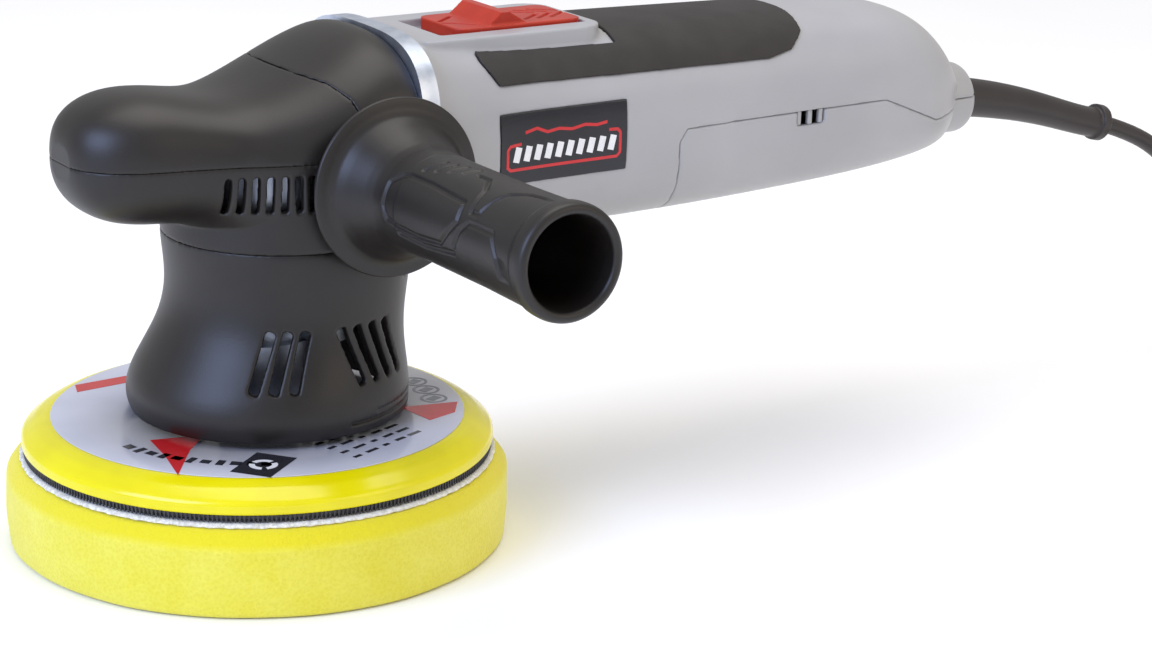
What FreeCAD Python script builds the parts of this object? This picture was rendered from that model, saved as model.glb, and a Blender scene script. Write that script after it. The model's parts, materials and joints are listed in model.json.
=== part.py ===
import FreeCAD, Part
import math
import os
import re
import Sketcher
from FreeCAD import Placement, Rotation, Vector

# Dual action polisher, in millimetres.
# Origin: on the drive spindle's axis, at the working face of the foam pad.
# +Z points up along the spindle, +X towards the mains cord, -Y towards the side handle.
# The pad turns on an axis of its own, half an orbit away from the spindle.

SIZES = {
    # pad stack
    "orbit_offset": 4.0, "foam_radius": 80.1, "foam_height": 27.5, "foam_bevel": 3.6,
    "foam_bevel_drop": 5.5, "loop_radius": 75.8, "loop_top": 29.3, "hook_radius": 74.2,
    "hook_top": 31.3, "plate_radius": 75.0, "plate_top": 40.0, "plate_edge": 34.6,
    "label_radius": 65.8, "label_inner": 22.2, "label_top": 40.35, "insert_radius": 22.0,
    "insert_thick": 2.5, "stud_radius": 4.0, "stud_top": 52.0,
    # pad arbor and eccentric
    "arbor_radius": 6.0, "arbor_top": 65.0, "arbor_flange": 12.0, "arbor_flange_top": 44.0,
    "pad_bearing_outer": 14.0, "pad_bearing_width": 8.0, "pad_bearing_low": 46.5,
    "pad_bearing_high": 56.5, "eccentric_radius": 18.0, "eccentric_base": 45.5,
    "eccentric_top": 66.0, "spindle_boss": 14.0, "spindle_boss_top": 77.0,
    "weight_radius": 28.0, "weight_base": 67.0, "running_gap": 0.05,
    # drive spindle and gears
    "spindle_low_radius": 7.5, "spindle_base": 66.2, "spindle_step": 93.2, "gear_bore": 7.0,
    "gear_seat_top": 113.5, "spindle_top_radius": 5.0, "spindle_top": 141.4,
    "gear_base": 106.0, "gear_radius": 22.6, "nut_radius": 8.0, "nut_height": 4.0,
    "low_bearing_outer": 17.5, "low_bearing_base": 82.0, "low_bearing_width": 11.0,
    "needle_outer": 7.0, "needle_base": 131.6, "needle_height": 10.0, "needle_boss": 10.5,
    "gear_teeth": 38, "pinion_teeth": 10, "tooth_outer": 22.0, "tooth_inner": 15.0,
    "tooth_addendum": 0.8, "tooth_dedendum": 1.45, "tooth_share": 0.36, "tooth_slope": 20.0,
    # motor
    "motor_z": 124.0, "shaft_start": 22.5, "shaft_radius": 5.0, "shaft_end": 166.0,
    "shaft_nose": 4.0, "shaft_nose_end": 29.2, "shaft_tail": 150.0, "pinion_hub": 7.0,
    "pinion_hub_end": 29.0, "front_bearing_outer": 13.0, "front_bearing_x": 34.0,
    "front_bearing_width": 8.0, "rear_bearing_outer": 11.0, "rear_bearing_x": 157.0,
    "rear_bearing_width": 7.0, "bearing_bush": 13.5, "fan_radius": 28.0, "fan_x": 47.0,
    "fan_depth": 14.0, "fan_blades": 11, "core_radius": 17.6, "core_start": 80.0,
    "core_end": 125.0, "winding_radius": 16.0, "winding_over": 8.0, "commutator_radius": 12.0,
    "commutator_start": 135.0, "commutator_end": 149.5, "commutator_bars": 24,
    "field_radius": 26.0, "field_bore": 18.3, "field_ring": 22.0, "coil_outer": 25.0,
    "baffle_x": 63.0, "baffle_bore": 21.0, "baffle_thick": 2.0,
    "brush_x": 142.5, "brush_side": 5.0, "brush_reach": 23.0, "holder_side": 8.0,
    "holder_outer": 27.5,
    # gear case and its flange
    "case_radius": 29.0, "case_base": 79.0, "case_top": 138.5, "case_bore": 25.4,
    "case_bore_base": 95.0, "case_bore_top": 134.5, "case_neck_radius": 28.5,
    "case_neck_bore": 25.0, "case_neck_start": 12.0, "case_collar": 31.0, "flange_front": 33.0, "flange_back": 39.0, "flange_half": 41.4,
    "flange_height": 38.0, "flange_boss": 19.0, "flange_boss_end": 43.5,
    "corner_screw_y": 29.0, "corner_screw_z": 18.5, "corner_screw_radius": 2.5,
    "corner_screw_head": 4.2, "corner_screw_start": 23.0, "corner_screw_end": 53.0,
    "corner_boss": 4.6, "handle_x": 21.0, "handle_z": 120.0, "handle_boss": 10.0,
    "handle_boss_end": 42.0, "handle_thread": 4.05, "handle_thread_depth": 16.0,
    # head covers and shroud
    "cover_wall": 2.8, "cover_split": 128.0, "neck_top": 100.0, "neck_clip": 86.0,
    "shroud_base": 42.3, "shroud_radius": 44.0, "shroud_wall": 3.0, "neck_radius": 38.6,
    "neck_shift": 5.3, "vent_count": 7, "vent_pitch": 4.1, "vent_width": 2.1,
    "vent_height": 11.5, "vent_z": 119.0, "vent_x": -15.5, "slot_width": 3.2,
    "slot_height": 19.0, "slot_z": 66.5, "slot_lean": 17.0,
    # motor housing
    "housing_wall": 2.8, "inlay_proud": 0.6, "inlay_sink": 1.4, "badge_sink": 0.9,
    "platform_half": 22.5, "platform_start": 44.0, "platform_end": 112.0, "platform_top": 158.6,
    "platform_depth": 5.4,
    "switch_half": 13.5, "switch_start": 61.0, "switch_end": 108.0, "switch_travel": 6.0,
    "switch_floor": 155.2, "switch_top": 159.6, "switch_recess_half": 14.3, "rib_bore": 26.1,
    "rod_half": 3.0, "rod_base": 150.6, "rod_top": 152.4, "rod_end": 170.5,
    "collar_radius": 12.8, "collar_z": 114.2, "collar_start": 252.0, "collar_end": 279.0,
    "collar_round": 5.0, "collar_bore": 7.9, "boot_flange": 10.1, "cover_line_x": 134.0, "window_x": 183.0,
    "window_length": 12.0, "window_height": 5.0, "dial_x": 221.0, "dial_y": 21.0,
    "dial_z": 133.0, "dial_radius": 11.5, "dial_height": 6.0,
    # side handle, measured along its own axis from the gear case boss
    "grip_start": 42.0, "grip_length": 103.0, "grip_flange": 28.1, "grip_radius": 16.2,
    "grip_end_radius": 17.3, "grip_bore": 13.9, "grip_bore_start": 41.0, "bolt_radius": 4.0,
    "bolt_head": 7.2, "bolt_head_height": 5.3, "bolt_reach": 14.0,
    # cord
    "cord_radius": 3.25, "coil_inner": 22.9, "coil_outside": 49.2, "coil_height": 13.0,
    "coil_x": 478.0, "coil_y": -45.9, "boot_root": 7.2, "boot_tip": 5.6, "boot_ring": 6.8,
    "clamp_x": 243.5, "clamp_z": 106.6,
}

doc = FreeCAD.newDocument("DualActionPolisher")
sheet = doc.addObject("Spreadsheet::Sheet", "Sizes")
for row, (alias, number) in enumerate(SIZES.items(), start=1):
    sheet.set("A%d" % row, alias)
    sheet.set("B%d" % row, str(number))
    sheet.setAlias("B%d" % row, alias)
doc.recompute()

NODES = []
UP = Rotation()
ALONG_X = Rotation(Vector(0, 1, 0), 90)
ALONG_MINUS_Y = Rotation(Vector(1, 0, 0), 90)


def size(alias):
    """A driving dimension, read back from the sheet."""
    return float(sheet.get(alias))


def ref(expression):
    """The same expression with every alias pointing into the sheet."""
    return re.sub(r"[a-z_]+", lambda word: "Sizes." + word.group(0), str(expression))


def place(piece, x="0", y="0", z="0", turn=UP):
    """Turn a piece and bind its position to the sheet."""
    piece.Placement = Placement(Vector(0, 0, 0), turn)
    for letter, expression in zip("xyz", (x, y, z)):
        piece.setExpression("Placement.Base." + letter, ref(expression))
    return piece


def keep(piece, node):
    """Mark an object as a finished sub-part, to be written to a file of its own."""
    piece.Label = node
    NODES.append(piece)
    return piece


def rod(radius, length, x="0", y="0", z="0", turn=UP):
    cylinder = doc.addObject("Part::Cylinder", "rod")
    cylinder.setExpression("Radius", ref(radius))
    cylinder.setExpression("Height", ref(length))
    return place(cylinder, x, y, z, turn)


def block(length, width, height, x="0", y="0", z="0"):
    """A box centred in y and z on the point given, starting at x."""
    box = doc.addObject("Part::Box", "block")
    box.setExpression("Length", ref(length))
    box.setExpression("Width", ref(width))
    box.setExpression("Height", ref(height))
    return place(box, x, "%s - (%s) / 2" % (y, width), "%s - (%s) / 2" % (z, height))


def cut(base, *tools):
    result = base
    for tool in tools:
        step = doc.addObject("Part::Cut", "cut")
        step.Base = result
        step.Tool = tool
        result = step
    return result


def fuse(*pieces):
    result = doc.addObject("Part::MultiFuse", "fuse")
    result.Shapes = list(pieces)
    return result


def common(*pieces):
    result = doc.addObject("Part::MultiCommon", "common")
    result.Shapes = list(pieces)
    return result


def group(pieces):
    """Identical pieces that share a node, each still a solid of its own."""
    result = doc.addObject("Part::Compound", "group")
    result.Links = list(pieces)
    return result


def coded(shape, name="coded"):
    """A shape that is worked out in code from the sheet's sizes."""
    piece = doc.addObject("Part::Feature", name)
    piece.Shape = shape
    return piece


def tube(outer, inner, length, x="0", y="0", z="0", turn=UP):
    return cut(rod(outer, length, x, y, z, turn), rod(inner, length, x, y, z, turn))


def turned(profile, x="0", y="0", z="0", turn=UP):
    """A turned piece: its half profile, in (radius, height) pairs, revolved about the height axis."""
    body = doc.addObject("PartDesign::Body", "turned")
    sketch = body.newObject("Sketcher::SketchObject", "profile")
    plane = [item for item in body.Origin.OriginFeatures if item.Role == "XZ_Plane"][0]
    sketch.AttachmentSupport = [(plane, "")]
    sketch.MapMode = "FlatFace"
    count = len(profile)
    rough = [Vector(20 + 10 * math.cos(2 * math.pi * i / count),
                    10 * math.sin(2 * math.pi * i / count), 0) for i in range(count)]
    for i in range(count):
        sketch.addGeometry(Part.LineSegment(rough[i], rough[(i + 1) % count]), False)
    for i in range(count):
        sketch.addConstraint(Sketcher.Constraint("Coincident", i, 2, (i + 1) % count, 1))
    for i, pair in enumerate(profile):
        for kind, expression in zip(("DistanceX", "DistanceY"), pair):
            number = sketch.addConstraint(Sketcher.Constraint(kind, -1, 1, i, 1, 1.0))
            sketch.setExpression("Constraints[%d]" % number, ref(expression))
    revolution = body.newObject("PartDesign::Revolution", "revolution")
    revolution.Profile = sketch
    revolution.ReferenceAxis = (sketch, ["V_Axis"])
    revolution.Angle = 360
    return place(body, x, y, z, turn)


def prism(outline, half_width, middle=0.0):
    """A side-view outline, in (x, z) pairs, carried across the machine in y."""
    points = [Vector(x, middle - half_width, z) for x, z in outline]
    face = Part.Face(Part.makePolygon(points + points[:1]))
    return coded(face.extrude(Vector(0, 2 * half_width, 0)), "prism")


def rounded_section(x, top, bottom, half, middle, squareness, shrink=0.0, points=40):
    """A closed outline across the machine: round corners, flatter sides as squareness grows."""
    corners = []
    for i in range(points):
        angle = 2 * math.pi * (i + 0.5) / points
        side, rise = math.cos(angle), math.sin(angle)
        reach = (top - shrink - middle) if rise > 0 else (middle - bottom - shrink)
        corners.append(Vector(x,
                              (half - shrink) * math.copysign(abs(side) ** (2 / squareness), side),
                              middle + reach * math.copysign(abs(rise) ** (2 / squareness), rise)))
    curve = Part.BSplineCurve()
    curve.interpolate(Points=corners, PeriodicFlag=True)
    return Part.Wire(curve.toShape())


def lofted(stations, middle, squareness, shrink=0.0, trim=0.0):
    """A solid through sections at (x, top, bottom, half width), shrunk all round if asked."""
    sections = []
    for number, (x, top, bottom, half) in enumerate(stations):
        if number == 0:
            x = x + trim
        sections.append(rounded_section(x, top, bottom, half, middle, squareness, shrink))
    return Part.makeLoft(sections, True, False)


# ---------------------------------------------------------------- pad stack, about its own axis

PAD_X = "0 - orbit_offset"


def pad_stack():
    keep(turned([("0", "0"), ("foam_radius - 1.5", "0"), ("foam_radius", "1.5"),
                 ("foam_radius", "foam_height - foam_bevel_drop"),
                 ("foam_radius - foam_bevel", "foam_height"), ("0", "foam_height")], x=PAD_X),
         "foam_pad")
    keep(rod("loop_radius", "loop_top - foam_height", x=PAD_X, z="foam_height"), "loop_layer")
    keep(rod("hook_radius", "hook_top - loop_top", x=PAD_X, z="loop_top"), "hook_layer")
    keep(turned([("stud_radius", "hook_top"), ("plate_radius - 1.4", "hook_top"),
                 ("plate_radius", "hook_top + 1.2"), ("plate_radius", "plate_edge"),
                 ("plate_radius - 2.4", "plate_edge + 3.1"), ("label_radius + 1", "plate_top"),
                 ("insert_radius", "plate_top"), ("insert_radius", "plate_top - insert_thick"),
                 ("stud_radius", "plate_top - insert_thick")], x=PAD_X), "backing_plate")
    keep(tube("label_radius", "label_inner", "label_top - plate_top", x=PAD_X, z="plate_top"),
         "label_disc")
    keep(turned([("0", "hook_top"), ("stud_radius", "hook_top"),
                 ("stud_radius", "plate_top - insert_thick"),
                 ("insert_radius", "plate_top - insert_thick"), ("insert_radius", "plate_top"),
                 ("stud_radius", "plate_top"), ("stud_radius", "stud_top"), ("0", "stud_top")],
                x=PAD_X), "plate_stud")
    keep(turned([("stud_radius", "plate_top"), ("arbor_flange", "plate_top"),
                 ("arbor_flange", "arbor_flange_top"), ("arbor_radius + 1.5", "arbor_flange_top"),
                 ("arbor_radius + 1.5", "pad_bearing_low - 0.6"),
                 ("arbor_radius", "pad_bearing_low - 0.6"), ("arbor_radius", "arbor_top"),
                 ("0", "arbor_top"), ("0", "stud_top"), ("stud_radius", "stud_top")], x=PAD_X),
         "pad_arbor")


# ---------------------------------------------------------------- bearings

def ball_bearing(bore, outer, width, balls, x="0", y="0", z="0", turn=UP):
    """Two rings with a ring of balls between them, which almost touch both."""
    inner_edge = size(bore) if bore in SIZES else float(bore)
    third = "(%s - %s) / 3" % (outer, bore)
    rings = [tube(outer, "%s - %s" % (outer, third), width, x, y, z, turn),
             tube("%s + %s" % (bore, third), bore, width, x, y, z, turn)]
    gap = (size(outer) - inner_edge) / 3
    middle = (size(outer) + inner_edge) / 2
    for i in range(balls):
        angle = 2 * math.pi * i / balls
        ball = doc.addObject("Part::Sphere", "ball")
        ball.Radius = gap / 2 - 0.02
        at = turn.multVec(Vector(middle * math.cos(angle), middle * math.sin(angle),
                                 size(width) / 2))
        place(ball, "%s + (%.4f)" % (x, at.x), "%s + (%.4f)" % (y, at.y),
              "%s + (%.4f)" % (z, at.z))
        rings.append(ball)
    return group(rings)


def bearings():
    pair = [ball_bearing("6.05", "pad_bearing_outer", "pad_bearing_width", 8, x=PAD_X, z=level)
            for level in ("pad_bearing_low", "pad_bearing_high")]
    keep(group(pair), "pad_bearings")
    keep(ball_bearing("7.55", "low_bearing_outer", "low_bearing_width", 9,
                      z="low_bearing_base"), "spindle_bearing")
    needle = tube("needle_outer", "spindle_top_radius + running_gap", "needle_height",
                  z="needle_base")
    keep(needle, "needle_bearing")
    keep(ball_bearing("5.05", "front_bearing_outer", "front_bearing_width", 8,
                      x="front_bearing_x", z="motor_z", turn=ALONG_X), "front_bearing")
    keep(ball_bearing("4.05", "rear_bearing_outer", "rear_bearing_width", 7,
                      x="rear_bearing_x", z="motor_z", turn=ALONG_X), "rear_bearing")
    keep(tube("bearing_bush", "rear_bearing_outer", "rear_bearing_width", x="rear_bearing_x",
              z="motor_z", turn=ALONG_X), "bearing_bush")


# ---------------------------------------------------------------- eccentric, spindle and gears

def eccentric():
    housing = fuse(
        rod("eccentric_radius", "eccentric_top - eccentric_base", x=PAD_X, z="eccentric_base"),
        rod("spindle_boss", "spindle_boss_top - eccentric_top", z="eccentric_top"))
    keep(cut(housing,
             rod("pad_bearing_outer", "65 - eccentric_base", x=PAD_X, z="eccentric_base"),
             rod("spindle_low_radius", "spindle_boss_top - spindle_base", z="spindle_base")),
         "eccentric_housing")
    disc = rod("weight_radius", "spindle_boss_top - weight_base", z="weight_base")
    half = block("weight_radius + 1", "2 * weight_radius + 2", "20", x="4", z="weight_base + 5")
    ring = cut(common(disc, half), rod("spindle_boss", "20", z="weight_base - 1"))
    holes = [rod("1.6", "20", x="20", y=y, z="weight_base - 1") for y in ("-9", "9")]
    keep(cut(ring, *holes), "counterweight")
    screws = []
    for y in ("-9", "9"):
        shank = rod("1.6", "weight_base + 10 - eccentric_top", x="20", y=y, z="eccentric_top + 1")
        head = rod("2.8", "1.2", x="20", y=y, z="weight_base - 1.2")
        screws.append(fuse(shank, head))
    keep(group(screws), "counterweight_screws")


def spindle():
    keep(turned([("0", "spindle_base"), ("spindle_low_radius", "spindle_base"),
                 ("spindle_low_radius", "spindle_step"), ("gear_bore", "spindle_step"),
                 ("gear_bore", "gear_seat_top"), ("spindle_top_radius", "gear_seat_top"),
                 ("spindle_top_radius", "spindle_top"), ("0", "spindle_top")]), "drive_spindle")
    keep(tube("gear_bore + 3", "gear_bore", "gear_base - spindle_step", z="spindle_step"),
         "spacer_sleeve")
    nut = doc.addObject("Part::Prism", "nut")
    nut.Polygon = 6
    nut.setExpression("Circumradius", ref("nut_radius"))
    nut.setExpression("Height", ref("nut_height"))
    place(nut, z="gear_seat_top")
    keep(cut(nut, rod("spindle_top_radius", "nut_height", z="gear_seat_top")), "gear_nut")


def tooth(half_root, half_tip, foot, tip, apex, down):
    """One bevel tooth: a trapezium at the large end, shrinking towards the cones' common apex."""
    far, near = size("tooth_outer"), size("tooth_inner")
    ends = []
    for reach in (far, near):
        scale = reach / far
        corners = [(-half_root, foot), (half_root, foot), (half_tip, tip), (-half_tip, tip)]
        points = [Vector(reach, y * scale, apex + down * level * scale) for y, level in corners]
        ends.append(Part.makePolygon(points + points[:1]))
    return Part.makeLoft(ends, True, True)


def gears():
    """A bevel pair: a crown wheel below the motor axis and a pinion on the armature shaft."""
    apex = size("motor_z")
    far = size("tooth_outer")
    wheel_teeth, pinion_teeth = int(size("gear_teeth")), int(size("pinion_teeth"))
    pitch = 2 * math.pi * far / wheel_teeth
    pitch_radius = far * pinion_teeth / wheel_teeth
    addendum, dedendum = size("tooth_addendum"), size("tooth_dedendum")
    slope = math.tan(math.radians(size("tooth_slope")))
    half = size("tooth_share") * pitch / 2
    half_tip = half - addendum * slope
    half_root = half + dedendum * slope
    sink = 0.4
    root = (pitch_radius + dedendum) / far
    inner = size("tooth_inner") - 0.5
    outer = size("gear_radius")
    base, bore = size("gear_base"), size("gear_bore")
    profile = [(bore, base), (outer, base), (outer, apex - root * outer),
               (inner, apex - root * inner), (inner, size("gear_seat_top")),
               (bore, size("gear_seat_top"))]
    points = [Vector(r, 0, z) for r, z in profile]
    blank = Part.Face(Part.makePolygon(points + points[:1])).revolve(Vector(0, 0, 0),
                                                                    Vector(0, 0, 1), 360)
    one = tooth(half_root + sink * slope, half_tip, pitch_radius + dedendum + sink,
                pitch_radius - addendum, apex, -1)
    teeth = []
    for i in range(wheel_teeth):
        copy = one.copy()
        copy.rotate(Vector(0, 0, 0), Vector(0, 0, 1), 360 * (i + 0.5) / wheel_teeth)
        teeth.append(copy)
    keep(coded(blank.fuse(teeth).removeSplitter()), "crown_gear")

    root_radius = pitch_radius - dedendum
    near = size("tooth_inner")
    shoulder = far + 0.5
    cone = Part.makeCone(root_radius * near / far, root_radius * shoulder / far,
                         shoulder - near, Vector(near, 0, apex), Vector(1, 0, 0))
    hub = Part.makeCylinder(size("pinion_hub"), size("pinion_hub_end") - shoulder,
                            Vector(shoulder, 0, apex), Vector(1, 0, 0))
    one = tooth(half_root + sink * slope, half_tip, root_radius - sink,
                pitch_radius + addendum, apex, -1)
    teeth = [cone, hub]
    for i in range(pinion_teeth):
        copy = one.copy()
        copy.rotate(Vector(0, 0, apex), Vector(1, 0, 0), 360 * i / pinion_teeth)
        teeth.append(copy)
    seat = Part.makeCylinder(size("shaft_nose"), 20, Vector(size("shaft_start"), 0, apex),
                             Vector(1, 0, 0))
    pinion = teeth[0].fuse(teeth[1:]).cut(seat).removeSplitter()
    keep(coded(pinion), "bevel_pinion")


# ---------------------------------------------------------------- motor, about the x axis

def on_motor_axis(profile):
    return turned(profile, z="motor_z", turn=ALONG_X)


def armature():
    keep(on_motor_axis([("0", "shaft_start"), ("shaft_nose", "shaft_start"),
                        ("shaft_nose", "shaft_nose_end"), ("shaft_radius", "shaft_nose_end"),
                        ("shaft_radius", "shaft_tail"), ("shaft_nose", "shaft_tail"),
                        ("shaft_nose", "shaft_end"), ("0", "shaft_end")]), "armature_shaft")
    keep(tube("core_radius", "shaft_radius", "core_end - core_start", x="core_start",
              z="motor_z", turn=ALONG_X), "armature_core")
    ends = [tube("winding_radius", "shaft_radius", "winding_over", x=start, z="motor_z",
                 turn=ALONG_X) for start in ("core_start - winding_over", "core_end")]
    keep(group(ends), "armature_windings")
    drum = tube("commutator_radius", "shaft_radius", "commutator_end - commutator_start",
                x="commutator_start", z="motor_z", turn=ALONG_X)
    bars = int(size("commutator_bars"))
    middle = size("motor_z")
    grooves = []
    for i in range(bars):
        groove = Part.makeBox(20, 0.5, 1.6, Vector(size("commutator_start") - 1, -0.25,
                                                   middle + size("commutator_radius") - 0.8))
        groove.rotate(Vector(0, 0, middle), Vector(1, 0, 0), 360 * i / bars)
        grooves.append(groove)
    keep(cut(drum, coded(Part.makeCompound(grooves))), "commutator")


def fan():
    """Blower wheel: a hub, a thin back disc and straight blades."""
    start, depth = size("fan_x"), size("fan_depth")
    middle = size("motor_z")
    blades = []
    for i in range(int(size("fan_blades"))):
        blade = Part.makeBox(depth - 1, 1.4, size("fan_radius") - 8.5,
                             Vector(start, -0.7, middle + 8))
        blade.rotate(Vector(0, 0, middle), Vector(1, 0, 0), 360 * i / size("fan_blades"))
        blades.append(blade)
    hub = rod("9", "fan_depth", x="fan_x", z="motor_z", turn=ALONG_X)
    disc = rod("fan_radius", "1.6", x="fan_x + fan_depth - 1.6", z="motor_z", turn=ALONG_X)
    wheel = fuse(hub, disc, coded(Part.makeCompound(blades)))
    keep(cut(wheel, rod("shaft_radius", "40", x="fan_x - 5", z="motor_z", turn=ALONG_X)),
         "cooling_fan")


def stator():
    ring = tube("field_radius", "field_ring", "core_end - core_start", x="core_start",
                z="motor_z", turn=ALONG_X)
    pole = tube("field_ring", "field_bore", "core_end - core_start", x="core_start",
                z="motor_z", turn=ALONG_X)
    window = block("60", "60", "20", x="core_start - 5", z="motor_z")
    keep(fuse(ring, cut(pole, window)), "field_core")
    bundle = tube("field_ring - 0.1", "field_bore + 0.3", "core_end - core_start + 4",
                  x="core_start - 2", z="motor_z", turn=ALONG_X)
    sides = common(bundle, block("70", "60", "19", x="core_start - 8", z="motor_z"))
    ends = [tube("coil_outer", "field_bore + 0.3", "7", x=start, z="motor_z", turn=ALONG_X)
            for start in ("core_start - 7.5", "core_end + 0.5")]
    keep(fuse(sides, *ends), "field_coils")
    keep(tube("fan_radius + 1", "baffle_bore", "baffle_thick", x="baffle_x", z="motor_z",
              turn=ALONG_X), "air_baffle")


def brush_gear():
    holders = []
    brushes = []
    springs = []
    for side in (-1, 1):
        near = size("commutator_radius") + 1.2
        outer, wall = size("holder_outer"), size("holder_side")
        middle = size("motor_z")
        x = size("brush_x")
        brush = size("brush_side")
        reach = size("brush_reach")
        low = min(side * near, side * outer)
        sleeve = Part.makeBox(wall, outer - near, wall, Vector(x - wall / 2, low, middle - wall / 2))
        hole = Part.makeBox(brush + 0.2, outer - near - 1.2, brush + 0.2,
                            Vector(x - brush / 2 - 0.1, low + (1.2 if side < 0 else 0),
                                   middle - brush / 2 - 0.1))
        holders.append(sleeve.cut(hole))
        touch = size("commutator_radius") + 0.05
        low = min(side * touch, side * reach)
        brushes.append(Part.makeBox(brush, reach - touch, brush,
                                    Vector(x - brush / 2, low, middle - brush / 2)))
        coil = Part.makeHelix(0.7, outer - 1.6 - reach - 0.5, 1.7)
        section = Part.Wire(Part.makeCircle(0.22, Vector(1.7, 0, 0), Vector(0, 1, 0)))
        spring = Part.Wire(coil.Edges).makePipeShell([section], True, True)
        spring.rotate(Vector(0, 0, 0), Vector(1, 0, 0), -90 * side)
        spring.translate(Vector(x, side * (reach + 0.3), middle))
        springs.append(spring)
    keep(coded(Part.makeCompound(holders)), "brush_holders")
    keep(coded(Part.makeCompound(brushes)), "carbon_brushes")
    keep(coded(Part.makeCompound(springs)), "brush_springs")


# ---------------------------------------------------------------- gear case and flange

def corner_places():
    return [(y * size("corner_screw_y"), z * size("corner_screw_z"))
            for y in (-1, 1) for z in (-1, 1)]


def corner_rods(radius, start, end):
    """Rods along x at the four corners round the motor axis."""
    return [rod(radius, "(%s) - (%s)" % (end, start), x=start,
                y="%d * corner_screw_y" % y, z="motor_z + (%d) * corner_screw_z" % z, turn=ALONG_X)
            for y in (-1, 1) for z in (-1, 1)]


def gear_case():
    outer = fuse(rod("case_radius", "case_top - case_base", z="case_base"),
                 rod("needle_boss", "needle_height + 0.2", z="needle_base"),
                 rod("case_neck_radius", "flange_front - case_neck_start", x="case_neck_start",
                     z="motor_z", turn=ALONG_X),
                 rod("handle_boss", "2 * handle_boss_end", x="handle_x", y="handle_boss_end",
                     z="handle_z", turn=ALONG_MINUS_Y),
                 rod("case_collar", "6", x="flange_front - 6", z="motor_z", turn=ALONG_X),
                 *corner_rods("corner_boss", "flange_front - 6", "flange_front"))
    inner_boss = tube("case_bore + 1", "needle_boss", "case_bore_top - needle_base + 1",
                      z="needle_base")
    hollow = [rod("case_bore", "needle_base - case_bore_base", z="case_bore_base"),
              common(inner_boss, rod("case_bore", "case_bore_top - needle_base",
                                     z="needle_base")),
              cut(rod("case_neck_bore", "flange_front", z="motor_z", turn=ALONG_X),
                  rod("needle_boss", "60", z="case_bore_base")),
              rod("low_bearing_outer", "case_bore_base - low_bearing_base",
                  z="low_bearing_base"),
              rod("spindle_low_radius + 1.5", "10", z="case_base - 1"),
              rod("needle_outer", "needle_height + 1", z="needle_base - 0.5")]
    threads = [rod("handle_thread", "handle_thread_depth", x="handle_x",
                   y="0 - handle_boss_end + handle_thread_depth", z="handle_z",
                   turn=ALONG_MINUS_Y),
               rod("handle_thread", "handle_thread_depth", x="handle_x", y="handle_boss_end",
                   z="handle_z", turn=ALONG_MINUS_Y)]
    holes = corner_rods("corner_screw_radius + 0.05", "flange_front - 7", "flange_front")
    back = block("20", "100", "100", x="flange_front", z="motor_z")
    keep(cut(outer, *hollow, *threads, *holes, back), "gear_case")


def gear_case_flange():
    wire = rounded_section(size("flange_front"), size("motor_z") + size("flange_height"),
                           size("motor_z") - size("flange_height"), size("flange_half"),
                           size("motor_z"), 3.5)
    thick = size("flange_back") - size("flange_front")
    plate = coded(Part.Face(wire).extrude(Vector(thick, 0, 0)))
    boss = rod("flange_boss", "flange_boss_end - flange_back", x="flange_back", z="motor_z",
               turn=ALONG_X)
    seat = rod("front_bearing_outer", "front_bearing_x + front_bearing_width - flange_front",
               x="flange_front", z="motor_z", turn=ALONG_X)
    bore = rod("shaft_radius + 2", "20", x="flange_front", z="motor_z", turn=ALONG_X)
    holes = corner_rods("corner_screw_radius + 0.05", "flange_front - 1", "flange_back + 1")
    keep(cut(fuse(plate, boss), seat, bore, *holes), "gear_case_flange")


def corner_screws():
    shanks = corner_rods("corner_screw_radius", "corner_screw_start", "corner_screw_end")
    heads = corner_rods("corner_screw_head", "corner_screw_start", "flange_front - 6")
    keep(group([fuse(shank, head) for shank, head in zip(shanks, heads)]), "gear_case_screws")


# ---------------------------------------------------------------- head covers and shroud

HEAD = [(-69.0, 134.0, 122.5, 7.0), (-66.5, 140.5, 116.5, 14.0), (-61.0, 145.0, 111.5, 20.0),
        (-52.0, 147.8, 108.5, 24.5), (-41.0, 148.0, 107.5, 27.0), (-30.0, 146.5, 105.0, 29.5),
        (-20.0, 145.6, 94.0, 32.5), (-7.0, 148.5, 75.0, 36.8), (6.5, 154.5, 62.0, 40.0),
        (20.0, 160.6, 60.0, 41.0), (33.0, 160.4, 60.0, 41.0)]
HEAD_MIDDLE = 128.0
HEAD_SQUARENESS = 2.5


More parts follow.
